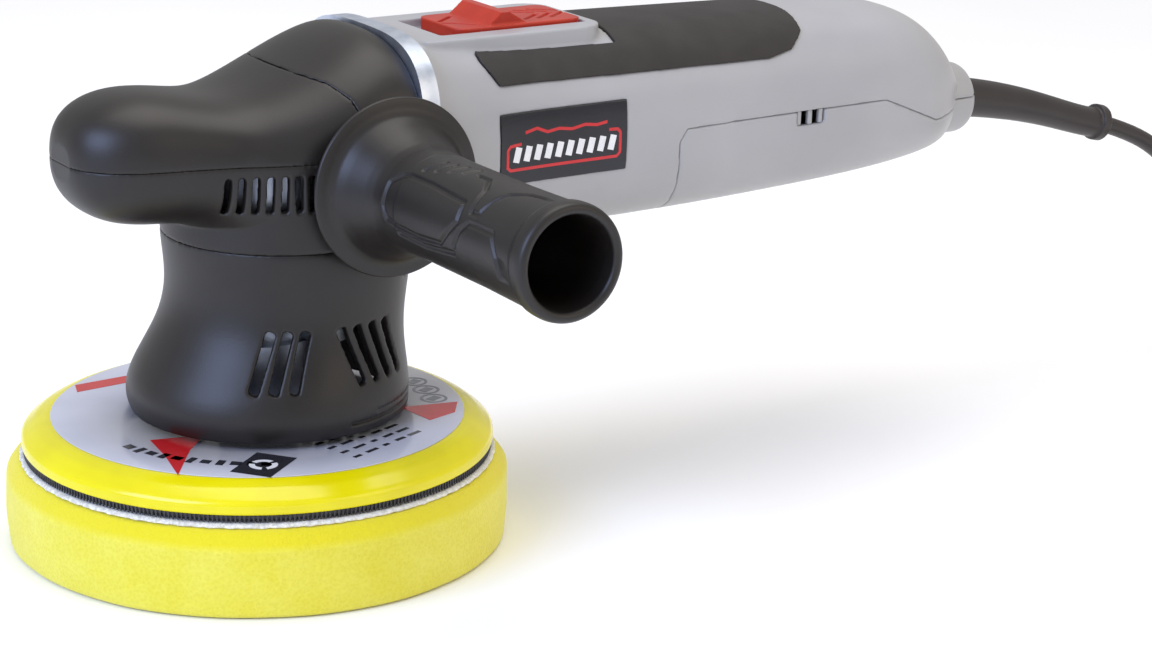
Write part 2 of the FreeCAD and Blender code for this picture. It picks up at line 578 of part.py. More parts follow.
def head_covers():
    """Nose cover, rear top cover and lower cover, cut from one hollow form."""
    wall = size("cover_wall")
    split, neck = size("cover_split"), size("neck_top")
    form = lofted(HEAD, HEAD_MIDDLE, HEAD_SQUARENESS)
    last = HEAD[-1]
    beyond = HEAD[:-1] + [(last[0] + 0.5,) + last[1:]]
    hollow = lofted(beyond, HEAD_MIDDLE, HEAD_SQUARENESS, shrink=wall, trim=wall)
    boss_hole = Part.makeCylinder(size("handle_boss") + 0.4, 120,
                                  Vector(size("handle_x"), 60, size("handle_z")),
                                  Vector(0, -1, 0))
    above = Part.makeBox(140, 120, 60, Vector(-80, -60, split))
    upper = form.common(above).cut(hollow)
    seam = [(-80, 120), (13.5, 120), (13.5, 139), (11, 146), (7, 150), (-3, 153), (-1, 170),
            (-80, 170)]
    front = prism(seam, 60).Shape
    keep(coded(upper.common(front)), "nose_cover")
    keep(coded(upper.cut(front).cut(boss_hole)), "rear_top_cover")

    waists = [Part.makeCylinder(size("neck_radius") - shrink, split - neck + 4,
                                Vector(size("neck_shift"), 0, neck - 4)) for shrink in (0, wall)]
    below = Part.makeBox(size("flange_front") + 80, 120, split - neck, Vector(-80, -60, neck))
    lower = form.fuse(waists[0]).common(below).cut(hollow.fuse(waists[1]))
    vents = []
    for i in range(int(size("vent_count"))):
        shift = (i - (size("vent_count") - 1) / 2) * size("vent_pitch")
        slot = Part.makeBox(size("vent_width"), 120, size("vent_height"),
                            Vector(size("vent_x") + shift - size("vent_width") / 2, -60,
                                   size("vent_z") - size("vent_height") / 2))
        vents.append(slot)
    keep(coded(lower.cut(vents + [boss_hole])), "lower_head_cover")


def shroud_form(shrink, low, high):
    """The bell: a plain rim, then a waist that leans back over the gear case."""
    shift, waist, rim = size("neck_shift"), size("neck_radius"), size("shroud_radius")
    rings = [(low, 0.0, rim), (size("shroud_base") + 12.5, 0.0, rim),
             (size("shroud_base") + 22.5, 0.45 * shift, rim - 3.2),
             (size("shroud_base") + 34.0, shift, waist), (high, shift, waist)]
    wires = [Part.Wire(Part.makeCircle(radius - shrink, Vector(x, 0, z), Vector(0, 0, 1)))
             for z, x, radius in rings]
    return Part.makeLoft(wires, True, False)


def shroud():
    low, high = size("shroud_base"), size("neck_top")
    wall = size("shroud_wall")
    shell = shroud_form(0.0, low, high).cut(shroud_form(wall, low - 1, high + 1))
    behind = Part.makeBox(40, 100, 40, Vector(size("flange_front"), -50, size("neck_clip")))
    slots = []
    lean = size("slot_lean")
    for side in (-1, 1):
        for start, count, tilt in ((-30.0, 3, lean), (12.0, 4, -lean)):
            for i in range(count):
                slot = Part.makeBox(20, size("slot_width"), size("slot_height"),
                                    Vector(30, -size("slot_width") / 2,
                                           -size("slot_height") / 2))
                slot.rotate(Vector(0, 0, 0), Vector(1, 0, 0), tilt * side)
                slot.rotate(Vector(0, 0, 0), Vector(0, 0, 1), side * (90 - start - 8.5 * i))
                slot.translate(Vector(0, 0, size("slot_z")))
                slots.append(slot)
    keep(cut(coded(shell.cut(behind)), coded(Part.makeCompound(slots))), "shroud")


# ---------------------------------------------------------------- motor housing

HOUSING = [(39.0, 160.6, 88.0, 40.5), (52.0, 158.6, 90.0, 37.8), (72.0, 157.6, 91.0, 35.2),
           (110.0, 157.0, 91.0, 34.0), (150.0, 156.2, 91.4, 32.6), (190.0, 155.2, 92.8, 31.2),
           (215.0, 154.4, 94.2, 30.4), (238.0, 151.6, 96.4, 29.0), (250.0, 145.0, 98.0, 26.5),
           (258.0, 135.4, 99.4, 22.5), (264.0, 125.2, 101.4, 17.0)]
HOUSING_MIDDLE = 124.0
HOUSING_SQUARENESS = 2.8
# the lower cover's edge: up behind the motor, level along it, then a shallow V at the collar
COVER_LINE = [(137.0, 80.0), (135.0, 106.0), (134.0, 119.0), (137.0, 123.5), (222.0, 124.0),
              (248.0, 113.5), (268.0, 116.0), (290.0, 117.0), (290.0, 80.0)]
INLAY_LINE = [(61.0, 151.5), (65.0, 144.6), (172.0, 143.0), (182.0, 145.0), (189.0, 150.0),
              (194.0, 170.0), (61.0, 170.0)]


def housing_form(shrink):
    return lofted(HOUSING, HOUSING_MIDDLE, HOUSING_SQUARENESS, shrink)


def housing_parts():
    wall = size("housing_wall")
    middle = size("motor_z")
    outside = housing_form(0.0)
    inside = housing_form(wall)
    collar = Part.makeCylinder(size("collar_radius"), size("collar_end") - size("collar_start"),
                               Vector(size("collar_start"), 0, size("collar_z")), Vector(1, 0, 0))
    rim = [edge for edge in collar.Edges
           if abs(edge.BoundBox.XMin - size("collar_end")) < 0.01
           and abs(edge.BoundBox.XMax - size("collar_end")) < 0.01]
    collar = collar.makeFillet(size("collar_round"), rim)
    platform = Part.makeBox(size("platform_end") - size("platform_start"),
                            2 * size("platform_half"), size("platform_depth"),
                            Vector(size("platform_start"), -size("platform_half"),
                                   size("platform_top") - size("platform_depth")))
    upright = [edge for edge in platform.Edges
               if edge.BoundBox.ZLength > 1 and edge.BoundBox.XMin > 100]
    platform = platform.makeFillet(9.0, upright)
    ribs = []
    for x in (84.0, 117.0):
        ribs.append(Part.makeCylinder(60, 4, Vector(x, 0, middle), Vector(1, 0, 0)).common(outside))
    bearing_wall = Part.makeCylinder(60, size("rear_bearing_width"),
                                     Vector(size("rear_bearing_x"), 0, middle),
                                     Vector(1, 0, 0)).common(outside)
    bosses = [Part.makeCylinder(size("corner_boss"), 15,
                                Vector(size("flange_back"), y, middle + z), Vector(1, 0, 0))
              for y, z in corner_places()]
    shell = outside.cut(inside).fuse([collar, platform, bearing_wall] + ribs + bosses)
    cavities = [Part.makeCylinder(size("rib_bore"), 70, Vector(70, 0, middle), Vector(1, 0, 0)),
                Part.makeCylinder(size("bearing_bush"), 20, Vector(150, 0, middle),
                                  Vector(1, 0, 0)),
                Part.makeCylinder(size("collar_bore"), 60, Vector(235, 0, size("collar_z")),
                                  Vector(1, 0, 0)),
                Part.makeCylinder(size("boot_flange") + 0.3, 30, Vector(237, 0, size("collar_z")),
                                  Vector(1, 0, 0)),
                Part.makeBox(size("switch_end") - size("switch_start") + size("switch_travel") + 1,
                             2 * size("switch_recess_half"), 20,
                             Vector(size("switch_start") - size("switch_travel") - 0.5,
                                    -size("switch_recess_half"), size("switch_floor"))),
                Part.makeBox(30, 8, 12, Vector(70, -4, 148)),
                Part.makeBox(60, 8, 4.6, Vector(114, -4, 149.2)),
                Part.makeBox(30, 8, 4.6, Vector(80, -4, 149.2))]
    cavities += [Part.makeCylinder(size("corner_screw_radius"), 16,
                                   Vector(size("flange_back") - 1, y, middle + z),
                                   Vector(1, 0, 0)) for y, z in corner_places()]
    dial_gap = Part.makeCylinder(size("dial_radius") + 1.0, size("dial_height") + 1.6,
                                 Vector(size("dial_x"), size("dial_y"), size("dial_z") - 0.8),
                                 Vector(0, 0, 1))
    shell = shell.cut(cavities + [dial_gap])

    inlay_zone = prism(INLAY_LINE, 60).Shape
    keep_clear = Part.makeBox(size("platform_end") + 2 - 40, 2 * size("platform_half") + 2, 30,
                              Vector(40, -size("platform_half") - 1, 140))
    skin = housing_form(-size("inlay_proud")).cut(housing_form(size("inlay_sink")))
    inlay = skin.common(inlay_zone).cut(keep_clear)
    badge_zone = Part.makeBox(49.0, 20, 23.0, Vector(63.5, -50, 113.0))
    badge_skin = housing_form(-0.2).cut(housing_form(size("badge_sink")))
    badge = badge_skin.common(badge_zone)
    shell = shell.cut([inlay, badge])
    lower_zone = prism(COVER_LINE, 60).Shape
    window = Part.makeBox(size("window_length"), 80, size("window_height"),
                          Vector(size("window_x"), -40, size("motor_z") - size("window_height")))
    shell = shell.cut(window)
    bars = []
    for x in (0.0, 4.6, 9.2):
        bars.append(Part.makeBox(1.8, 100, size("window_height"),
                                 Vector(size("window_x") + x + 0.5, -50,
                                        size("motor_z") - size("window_height"))))
    grille_skin = housing_form(0.8).cut(housing_form(wall - 0.4))
    grille = grille_skin.common(Part.makeCompound(bars))
    keep(coded(shell.cut(lower_zone)), "motor_housing")
    lower = shell.common(lower_zone)
    posts = []
    pilots = []
    for y in (-8.5, 8.5):
        post = Part.makeCylinder(3.4, size("clamp_z") - 90, Vector(size("clamp_x"), y, 90))
        posts.append(post.common(outside))
        pilots.append(Part.makeCylinder(1.5, 4, Vector(size("clamp_x"), y, size("clamp_z") - 4)))
    keep(coded(lower.fuse(posts).cut(pilots)), "lower_rear_cover")
    keep(coded(grille), "vent_grille")
    keep(coded(inlay), "grip_inlay")
    keep(coded(badge), "badge_plate")


def switch():
    """Slider with a thumb hump, and the rod that carries its stroke back to the switch."""
    start, end = size("switch_start"), size("switch_end")
    half, floor, top = size("switch_half"), size("switch_floor"), size("switch_top")
    plate = Part.makeBox(end - start, 2 * half, top - floor - 0.3, Vector(start, -half, floor + 0.3))
    upright = [edge for edge in plate.Edges if edge.BoundBox.ZLength > 2
               and edge.BoundBox.XLength < 0.01 and edge.BoundBox.YLength < 0.01]
    plate = plate.makeFillet(4.0, upright)
    ridge = [(start + 11, top - 0.5), (start + 16.5, top + 4.0), (start + 19.5, top + 4.0),
             (start + 27, top - 0.5)]
    points = [Vector(x, -half + 1, z) for x, z in ridge]
    hump = Part.Face(Part.makePolygon(points + points[:1])).extrude(Vector(0, 2 * half - 2, 0))
    stem = Part.makeBox(10, 5, 5.6, Vector(80, -2.5, size("rod_base")))
    keep(coded(plate.fuse([hump, stem])), "switch_slider")
    link = Part.makeBox(size("rod_end") - 90, 2 * size("rod_half"),
                        size("rod_top") - size("rod_base"),
                        Vector(90, -size("rod_half"), size("rod_base")))
    keep(coded(link), "switch_rod")
    keep(cut(block("28", "16", "17", x="172", z="142"), block("3", "8", "4", x="171.9", z="151.5")),
         "switch_module")


def electronics():
    board = block("30", "24", "12", x="205", y="-4", z="112")
    dial_post = block("12", "22", "14", x="dial_x - 6", y="12", z="124")
    dial_shaft = rod("2.5", "dial_height + 8", x="dial_x", y="dial_y", z="dial_z - 7")
    keep(fuse(board, dial_post, dial_shaft), "speed_control")
    keep(block("20", "12", "9", x="176", y="0", z="106"), "suppressor_capacitor")
    wheel = rod("dial_radius", "dial_height", x="dial_x", y="dial_y", z="dial_z")
    notches = []
    for i in range(30):
        notch = Part.makeCylinder(0.5, 8, Vector(size("dial_x") + size("dial_radius") + 0.15,
                                                 size("dial_y"), size("dial_z") - 1))
        notch.rotate(Vector(size("dial_x"), size("dial_y"), 0), Vector(0, 0, 1), 12 * i)
        notches.append(notch)
    keep(cut(wheel, coded(Part.makeCompound(notches)),
             rod("2.55", "10", x="dial_x", y="dial_y", z="dial_z - 1")), "speed_dial")


# ---------------------------------------------------------------- side handle

def side_handle():
    keep(turned([("bolt_radius + 0.1", "0"), ("17", "0"), ("24.5", "1.0"),
                 ("grip_flange", "2.2"), ("grip_flange", "4.4"), ("25.4", "5.4"),
                 ("21.4", "8.4"), ("18.2", "13.0"), ("grip_radius + 0.3", "19.0"),
                 ("grip_radius", "26.0"), ("grip_radius", "60.0"),
                 ("grip_radius + 0.5", "grip_length - 7"),
                 ("grip_end_radius", "grip_length - 3.6"), ("grip_end_radius", "grip_length - 0.8"),
                 ("grip_end_radius - 0.8", "grip_length"), ("grip_bore", "grip_length"),
                 ("grip_bore - 1.2", "grip_bore_start"), ("bolt_radius + 0.1", "grip_bore_start")],
                x="handle_x", y="0 - grip_start", z="handle_z", turn=ALONG_MINUS_Y),
         "side_handle_grip")
    shank = rod("bolt_radius", "bolt_reach + grip_bore_start", x="handle_x",
                y="0 - grip_start + bolt_reach", z="handle_z", turn=ALONG_MINUS_Y)
    head = doc.addObject("Part::Prism", "bolt_head")
    head.Polygon = 6
    head.setExpression("Circumradius", ref("bolt_head"))
    head.setExpression("Height", ref("bolt_head_height"))
    place(head, "handle_x", "0 - grip_start - grip_bore_start", "handle_z", ALONG_MINUS_Y)
    keep(fuse(shank, head), "side_handle_bolt")


# ---------------------------------------------------------------- mains cord

BOOT_LINE = [(262.0, 114.2), (279.0, 113.6), (300.0, 109.9), (317.0, 105.6), (334.0, 100.4),
             (349.5, 96.6)]
# the cord's route from the end of the boot to the coil, in (x, y, z)
CORD_ROUTE = [(349.5, 0.0, 96.6), (367.0, 0.0, 91.0), (385.0, 0.5, 80.0), (401.0, 1.0, 64.0),
              (414.0, 1.0, 45.0), (427.0, 0.5, 26.0), (441.0, 0.2, 11.5), (458.0, 0.0, 3.6),
              (478.0, 0.0, 3.25)]
TAIL_ROUTE = [(478.0, -97.8, 3.3), (462.0, -98.2, 3.3), (447.0, -96.4, 3.3)]


def boot():
    radii = [size("boot_flange"), size("boot_root"), size("boot_root") - 0.6,
             size("boot_root") - 1.2, size("boot_tip"), size("boot_tip")]
    wires = []
    for number, ((x, z), radius) in enumerate(zip(BOOT_LINE, radii)):
        before = BOOT_LINE[max(number - 1, 0)]
        after = BOOT_LINE[min(number + 1, len(BOOT_LINE) - 1)]
        direction = Vector(after[0] - before[0], 0, after[1] - before[1])
        wires.append((Vector(x, 0, z), direction, radius))
    first = wires[0]
    neck = (Vector(266.5, 0, 114.2), first[1], size("collar_bore") - 0.2)
    flange = Part.makeCylinder(first[2], 4.5, first[0], Vector(1, 0, 0))
    rings = [Part.Wire(Part.makeCircle(radius, centre, direction))
             for centre, direction, radius in [neck] + wires[1:]]
    sleeve = Part.makeLoft(rings, True, False)
    end = wires[-1]
    direction = Vector(end[1]).normalize()
    collar = Part.makeCylinder(size("boot_ring"), 3.6, end[0] - direction * 3.6, direction)
    keep(coded(flange.fuse([sleeve, collar])), "cord_boot")
    clamp = cut(block("7", "24", "4", x="clamp_x - 3.5", z="clamp_z + 2"),
                *[rod("1.55", "12", x="clamp_x", y=y, z="clamp_z - 4") for y in ("-8.5", "8.5")])
    keep(clamp, "cord_clamp")
    screws = []
    for y in ("-8.5", "8.5"):
        screws.append(fuse(rod("1.5", "9", x="clamp_x", y=y, z="clamp_z - 4"),
                           rod("2.9", "1.8", x="clamp_x", y=y, z="clamp_z + 4")))
    keep(group(screws), "cord_clamp_screws")


def rounded_path(route, name):
    """Straight runs joined by tangent arcs, each as large as its two runs allow."""
    points = [Vector(*point) for point in route]
    edges = []
    start = points[0]
    radii = []
    for i in range(1, len(points) - 1):
        back, ahead = points[i - 1] - points[i], points[i + 1] - points[i]
        shorter = min(back.Length, ahead.Length)
        half_turn = (math.pi - back.getAngle(ahead)) / 2
        trim = 0.45 * shorter
        radius = trim / math.tan(half_turn)
        radii.append(round(radius, 1))
        into, out = Vector(back).normalize(), Vector(ahead).normalize()
        first, last = points[i] + into * trim, points[i] + out * trim
        bisector = (into + out).normalize()
        middle = points[i] + bisector * (radius / math.cos(half_turn) - radius)
        edges.append(Part.LineSegment(start, first).toShape())
        edges.append(Part.Arc(first, middle, last).toShape())
        start = last
    edges.append(Part.LineSegment(start, points[-1]).toShape())
    print("%s: length %.1f mm, bend radii %s" % (name, sum(e.Length for e in edges), radii))
    return Part.Wire(edges)


def cord_tube(route, node):
    path = rounded_path(route, node)
    first = Vector(*route[1]) - Vector(*route[0])
    section = Part.Wire(Part.makeCircle(size("cord_radius"), Vector(*route[0]), first))
    solid = path.makePipeShell([section], True, True)
    ideal = math.pi * size("cord_radius") ** 2 * path.Length
    print("%s: volume %.0f of %.0f mm3" % (node, solid.Volume, ideal))
    keep(coded(solid), node)


def cord():
    cord_tube(CORD_ROUTE, "cord_lead")
    keep(tube("coil_outside", "coil_inner", "coil_height", x="coil_x", y="coil_y"), "cord_coil")
    cord_tube(TAIL_ROUTE, "cord_tail")
    blade = [(0.0, 3.4), (12.0, 4.2), (16.0, 7.2), (34.0, 11.5), (38.0, 17.5), (41.0, 16.5)]
    outline = [(x, width) for x, width in blade] + [(x, -width) for x, width in reversed(blade)]
    points = [Vector(x, width, 0.0) for x, width in outline]
    plug = Part.Face(Part.makePolygon(points + points[:1])).extrude(Vector(0, 0, 13.4))
    pins = []
    for width in (-9.5, 9.5):
        pin = Part.makeCylinder(2.0, 19.0, Vector(41.0, width, 6.7), Vector(1, 0, 0))
        pins.append(pin)
    turn = Rotation(Vector(0, 0, 1), 173.0)
    where = Placement(Vector(447.0, -96.4, 0.0), turn)
    for shapes, node in ((plug, "plug_body"), (Part.makeCompound(pins), "plug_pins")):
        piece = coded(shapes)
        piece.Placement = where
        keep(piece, node)


# ---------------------------------------------------------------- build, check and write

pad_stack()
bearings()
eccentric()
spindle()
gears()
armature()
fan()
stator()
brush_gear()
gear_case()
gear_case_flange()
corner_screws()
head_covers()
shroud()
housing_parts()
switch()
electronics()
side_handle()
boot()
cord()
doc.recompute()

for piece in doc.Objects:
    if "Invalid" in piece.State or "Error" in piece.State:
        raise RuntimeError("%s (%s) failed: %s" % (piece.Name, piece.Label, piece.State))
for piece in NODES:
    if piece.Shape.isNull() or not piece.Shape.isValid() or not piece.Shape.Solids:
        raise RuntimeError("%s has no valid solid" % piece.Label)

os.makedirs("parts", exist_ok=True)
for piece in NODES:
    piece.Shape.exportStep("parts/%s.step" % piece.Label)
    box = piece.Shape.optimalBoundingBox()
    print("%-22s %2d solids %9.0f mm3  x %.1f..%.1f  y %.1f..%.1f  z %.1f..%.1f" % (
        piece.Label, len(piece.Shape.Solids), piece.Shape.Volume, box.XMin, box.XMax,
        box.YMin, box.YMax, box.ZMin, box.ZMax))
print(len(NODES), "nodes")
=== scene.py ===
# %% [markdown]
# # A dual action polisher, dressed over its CAD frame
# The CAD model settles every size, joint and place. This script gives each
# piece its finished surface: soft moulded edges, foam, rubber, print, cord.
# A finished look could be painted on the CAD meshes alone, but their edges
# are knife sharp. So the covers are cast again as closed skins that sit in
# exactly the same places.

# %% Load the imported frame
import json
import math

import bmesh
import bpy
import numpy as np
from mathutils import Matrix, Vector
from mathutils.bvhtree import BVHTree


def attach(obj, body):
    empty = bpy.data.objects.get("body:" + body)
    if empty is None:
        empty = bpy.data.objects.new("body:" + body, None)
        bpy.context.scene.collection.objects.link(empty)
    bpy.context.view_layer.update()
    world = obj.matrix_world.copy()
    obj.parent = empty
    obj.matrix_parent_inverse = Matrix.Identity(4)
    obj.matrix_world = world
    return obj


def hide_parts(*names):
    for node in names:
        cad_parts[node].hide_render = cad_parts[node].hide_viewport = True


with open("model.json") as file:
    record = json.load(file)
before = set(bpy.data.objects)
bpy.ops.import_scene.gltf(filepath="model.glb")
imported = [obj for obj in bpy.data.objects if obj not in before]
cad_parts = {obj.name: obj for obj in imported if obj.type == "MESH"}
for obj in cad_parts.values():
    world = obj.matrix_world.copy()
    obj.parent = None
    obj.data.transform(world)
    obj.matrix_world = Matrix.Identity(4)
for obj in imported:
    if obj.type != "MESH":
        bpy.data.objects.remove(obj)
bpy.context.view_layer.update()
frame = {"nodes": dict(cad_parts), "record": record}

MM = 0.001

# %% [markdown]
# ## The camera
# A camera on a long lens, a metre away, flattens perspective as a catalogue
# shot does. It could be placed by eye, but its direction is easier to reason
# about as an azimuth, an elevation and a slight roll about the line of sight.

# %% Place the camera
AZIMUTH, ELEVATION, ROLL = (math.radians(a) for a in (-32.93, 16.73, 1.19))
TARGET = Vector((116.3, 0.0, 49.6)) * MM
DISTANCE = 1.0

back = Vector((math.sin(AZIMUTH) * math.cos(ELEVATION),
               -math.cos(AZIMUTH) * math.cos(ELEVATION), math.sin(ELEVATION)))
level = Vector((math.cos(AZIMUTH), math.sin(AZIMUTH), 0.0))
upward = back.cross(level)
right = math.cos(ROLL) * level + math.sin(ROLL) * upward
top = back.cross(right)

lens = bpy.data.cameras.new("long_lens")
lens.lens, lens.sensor_width = 91.84, 36.0
lens.clip_start, lens.clip_end = 0.05, 20.0
camera = bpy.data.objects.new("camera", lens)
bpy.context.scene.collection.objects.link(camera)
camera.matrix_world = Matrix((
    (right.x, top.x, back.x, 0), (right.y, top.y, back.y, 0),
    (right.z, top.z, back.z, 0), (0, 0, 0, 1)))
camera.location = TARGET + DISTANCE * back
bpy.context.scene.camera = camera
bpy.context.scene.view_settings.view_transform = "Standard"
print("camera at", [round(v, 3) for v in camera.location])

# %% [markdown]
# ## Colours and nodes
# Colours are written as sRGB hex, as a paint chart gives them, and one
# function turns them into the linear values that a shader works in. One small
# helper adds a node, sets it and links it, so a finish reads as a short list.

# %% Helpers for finishes
def linear(hex_colour):
    """An sRGB hex colour as linear red, green, blue and alpha."""
    parts = [int(hex_colour[i:i + 2], 16) / 255 for i in (1, 3, 5)]
    return [c / 12.92 if c <= 0.04045 else ((c + 0.055) / 1.055) ** 2.4
            for c in parts] + [1.0]


def add_node(tree, kind, inputs=(), **settings):
    """A node with its settings and inputs; an input is a value or a socket."""
    node = tree.nodes.new("ShaderNode" + kind)
    for name, value in settings.items():
        setattr(node, name, value)
    for socket, value in dict(inputs).items():
        if isinstance(value, bpy.types.NodeSocket):
            tree.links.new(value, node.inputs[socket])
        else:
            node.inputs[socket].default_value = value
    return node


def new_finish(name, **shader_values):
    """A material with one Principled shader, and the object's own coordinates."""
    material = bpy.data.materials.new(name)
    material.use_nodes = True
    tree = material.node_tree
    shader = tree.nodes["Principled BSDF"]
    for socket, value in shader_values.items():
        shader.inputs[socket.replace("_", " ")].default_value = value
    place = add_node(tree, "TexCoord").outputs["Object"]
    return material, tree, shader, place


def mottle(tree, place, size_mm, first, second, detail=2.0, low=0.35, high=0.65):
    """Two colours mixed in soft patches of a real size."""
    patches = add_node(tree, "TexNoise", {"Vector": place, "Scale": 1 / (size_mm * MM),
                                          "Detail": detail, "Roughness": 0.5})
    ramp = add_node(tree, "ValToRGB", {"Fac": patches.outputs["Fac"]})
    for stop, at, colour in zip(ramp.color_ramp.elements, (low, high), (first, second)):
        stop.position, stop.color = at, linear(colour)
    return ramp.outputs["Color"]


def grain(tree, place, size_mm, depth_mm, shader):
    """A fine raised grain of a real width and depth, as bump."""
    noise = add_node(tree, "TexNoise", {"Vector": place, "Scale": 1 / (size_mm * MM),
                                        "Detail": 2.0})
    bump = add_node(tree, "Bump", {"Height": noise.outputs["Fac"], "Strength": 1.0,
                                   "Distance": depth_mm * MM})
    tree.links.new(bump.outputs["Normal"], shader.inputs["Normal"])


print("white is", linear("#ffffff"))

# %% [markdown]
# ## The mains cord
# On the real tool about two metres of rubber cord leave the tail. It is one
# flexible thing of a fixed length, so it is one NURBS curve with a round
# bevel. It falls from the sleeve to the bench in one bend, and the rest is
# wound into a neat two-layer coil, put away just past where it leaves sight.

# %% Route the cord
CORD_RADIUS = 3.25 * MM
LEAD = [(349.5, 0, 96.6), (367, 0, 91), (385, 0.5, 80), (401, 1, 64), (414, 1, 45),
        (427, 0.5, 26), (441, 0.2, 11.5), (458, 0, 3.6), (478, 0, 3.25)]
TAIL = [(462, -98.2, 3.3), (447, -96.4, 3.3)]
COIL_CENTRE = (478.0, -45.9)
COIL_OUTER, COIL_STEP = 45.9, 6.6
LOWER_Z, UPPER_Z = 3.25, 9.75
POINTS_A_TURN = 16


def coil_point(turn):
    """A point of the coil: in along the bench, up, then out on top, and down."""
    inward = min(turn, 3.0) if turn < 4.0 else 3.0 - max(0.0, min(turn, 8.0) - 5.0)
    radius = COIL_OUTER - COIL_STEP * inward + 12.0 * max(0.0, turn - 8.0)
    climb = min(1.0, max(0.0, (turn - 3.8) / 0.45)) - min(1.0, max(0.0, (turn - 8.05) / 0.4))
    angle = math.pi / 2 - 2 * math.pi * turn
    return (COIL_CENTRE[0] + radius * math.cos(angle), COIL_CENTRE[1] + radius * math.sin(angle),
            LOWER_Z + (UPPER_Z - LOWER_Z) * climb)


coil = [coil_point(k / POINTS_A_TURN) for k in range(1, int(8.5 * POINTS_A_TURN) + 1)]
route = LEAD + coil + TAIL
line = bpy.data.curves.new("mains_cord", "CURVE")
line.dimensions = "3D"
spline = line.splines.new("NURBS")
spline.points.add(len(route) - 1)
for point, (x, y, z) in zip(spline.points, route):
    point.co = (x * MM, y * MM, z * MM, 1.0)
    point.radius = MM
spline.order_u = 3
spline.use_endpoint_u = True
line.resolution_u = 6
line.bevel_depth, line.bevel_resolution = CORD_RADIUS / MM, 5
line.use_fill_caps = True
cord = bpy.data.objects.new("mains_cord", line)
bpy.context.scene.collection.objects.link(cord)
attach(cord, "housing")
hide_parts("cord_lead", "cord_coil", "cord_tail")
print("cord route has", len(route), "points")

# %% [markdown]
# ## Skins cast from the CAD
# A moulded cover has no sharp edge: the steel of the mould is polished, and
# plastic shrinks. The CAD skin could be bevelled edge by edge, but its long
# thin triangles fold over. Here a copy is filled with small voxels and relaxed
# a little, which rounds every edge by about the same real radius. Where two
# covers meet, the two rounded lips leave the fine seam that real parts show.

# %% Helpers for skins
def linked(name, mesh):
    obj = bpy.data.objects.new(name, mesh)
    bpy.context.scene.collection.objects.link(obj)
    return obj


def from_bmesh(name, shape):
    mesh = bpy.data.meshes.new(name)
    shape.to_mesh(mesh)
    shape.free()
    return linked(name, mesh)


def settled(obj):
    """Works the modifiers into the mesh and takes them off."""
    shapes = bpy.context.evaluated_depsgraph_get()
    mesh = bpy.data.meshes.new_from_object(obj.evaluated_get(shapes))
    obj.modifiers.clear()
    obj.data = mesh
    return obj


def cad_copy(name, *nodes):
    """One welded mesh of these CAD nodes."""
    shape = bmesh.new()
    for node in nodes:
        shape.from_mesh(frame["nodes"][node].data)
    bmesh.ops.remove_doubles(shape, verts=shape.verts, dist=2e-6)
    return from_bmesh(name, shape)


def dress(piece, body, slot_name, finish, *nodes):
    """The piece rides on its body, stands for its CAD nodes and takes its finish."""
    piece.data.materials.clear()
    piece.data.materials.append(finish)
    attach(piece, body)
    if nodes:
        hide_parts(*nodes)
    return piece


QUICK = 1.0


def skin(name, nodes, voxel_mm, relax=4, cut=(), most_faces=170000):
    """CAD nodes, with more forms cut away, as one soft-edged closed skin."""
    piece = cad_copy(name, *nodes)
    voxel = voxel_mm * MM * QUICK
    if cut:
        first = piece.modifiers.new("fill", "REMESH")
        first.mode, first.voxel_size = "VOXEL", voxel
    for form in cut:
        carve = piece.modifiers.new("carve", "BOOLEAN")
        carve.operation, carve.solver, carve.object = "DIFFERENCE", "MANIFOLD", form
    last = piece.modifiers.new("cast", "REMESH")
    last.mode, last.voxel_size, last.use_smooth_shade = "VOXEL", voxel, True
    soften = piece.modifiers.new("relax", "SMOOTH")
    soften.factor, soften.iterations = 0.5, relax
    settled(piece)
    faces = sum(len(p.vertices) - 2 for p in piece.data.polygons)
    if faces > most_faces:
        thin = piece.modifiers.new("thin", "DECIMATE")
        thin.ratio = most_faces / faces
        settled(piece)
    for form in cut:
        bpy.data.objects.remove(form)
    piece.data.shade_smooth()
    print(name, "has", len(piece.data.polygons), "faces")
    return piece


# %% [markdown]
# ## Turned forms
# The pad, the handle and the rims are round about an axis. A Screw modifier
# could spin a profile, but building the rings directly lets each point be
# pushed in or out, for foam that isn't quite true and for moulded grooves.

# %% Helpers for turned forms
def eased(profile, radius, steps=4):
    """The profile with each inner corner eased by an arc of this radius."""
    points = [Vector(p) for p in profile]
    out = [points[0]]
    for before, corner, after in zip(points, points[1:], points[2:]):
        a, b = before - corner, after - corner
        reach = min(radius, 0.45 * a.length, 0.45 * b.length)
        start, end = corner + a.normalized() * reach, corner + b.normalized() * reach
        for k in range(steps + 1):
            t = k / steps
            out.append((1 - t) ** 2 * start + 2 * t * (1 - t) * corner + t * t * end)
    return out + [points[-1]]


def divided(profile, longest):
    """The profile with points added, so that no span is longer than this."""
    out = [Vector(profile[0])]
    for a, b in zip(profile, profile[1:]):
        count = max(1, math.ceil((Vector(b) - Vector(a)).length / longest))
        out += [Vector(a).lerp(Vector(b), k / count) for k in range(1, count + 1)]
    return out


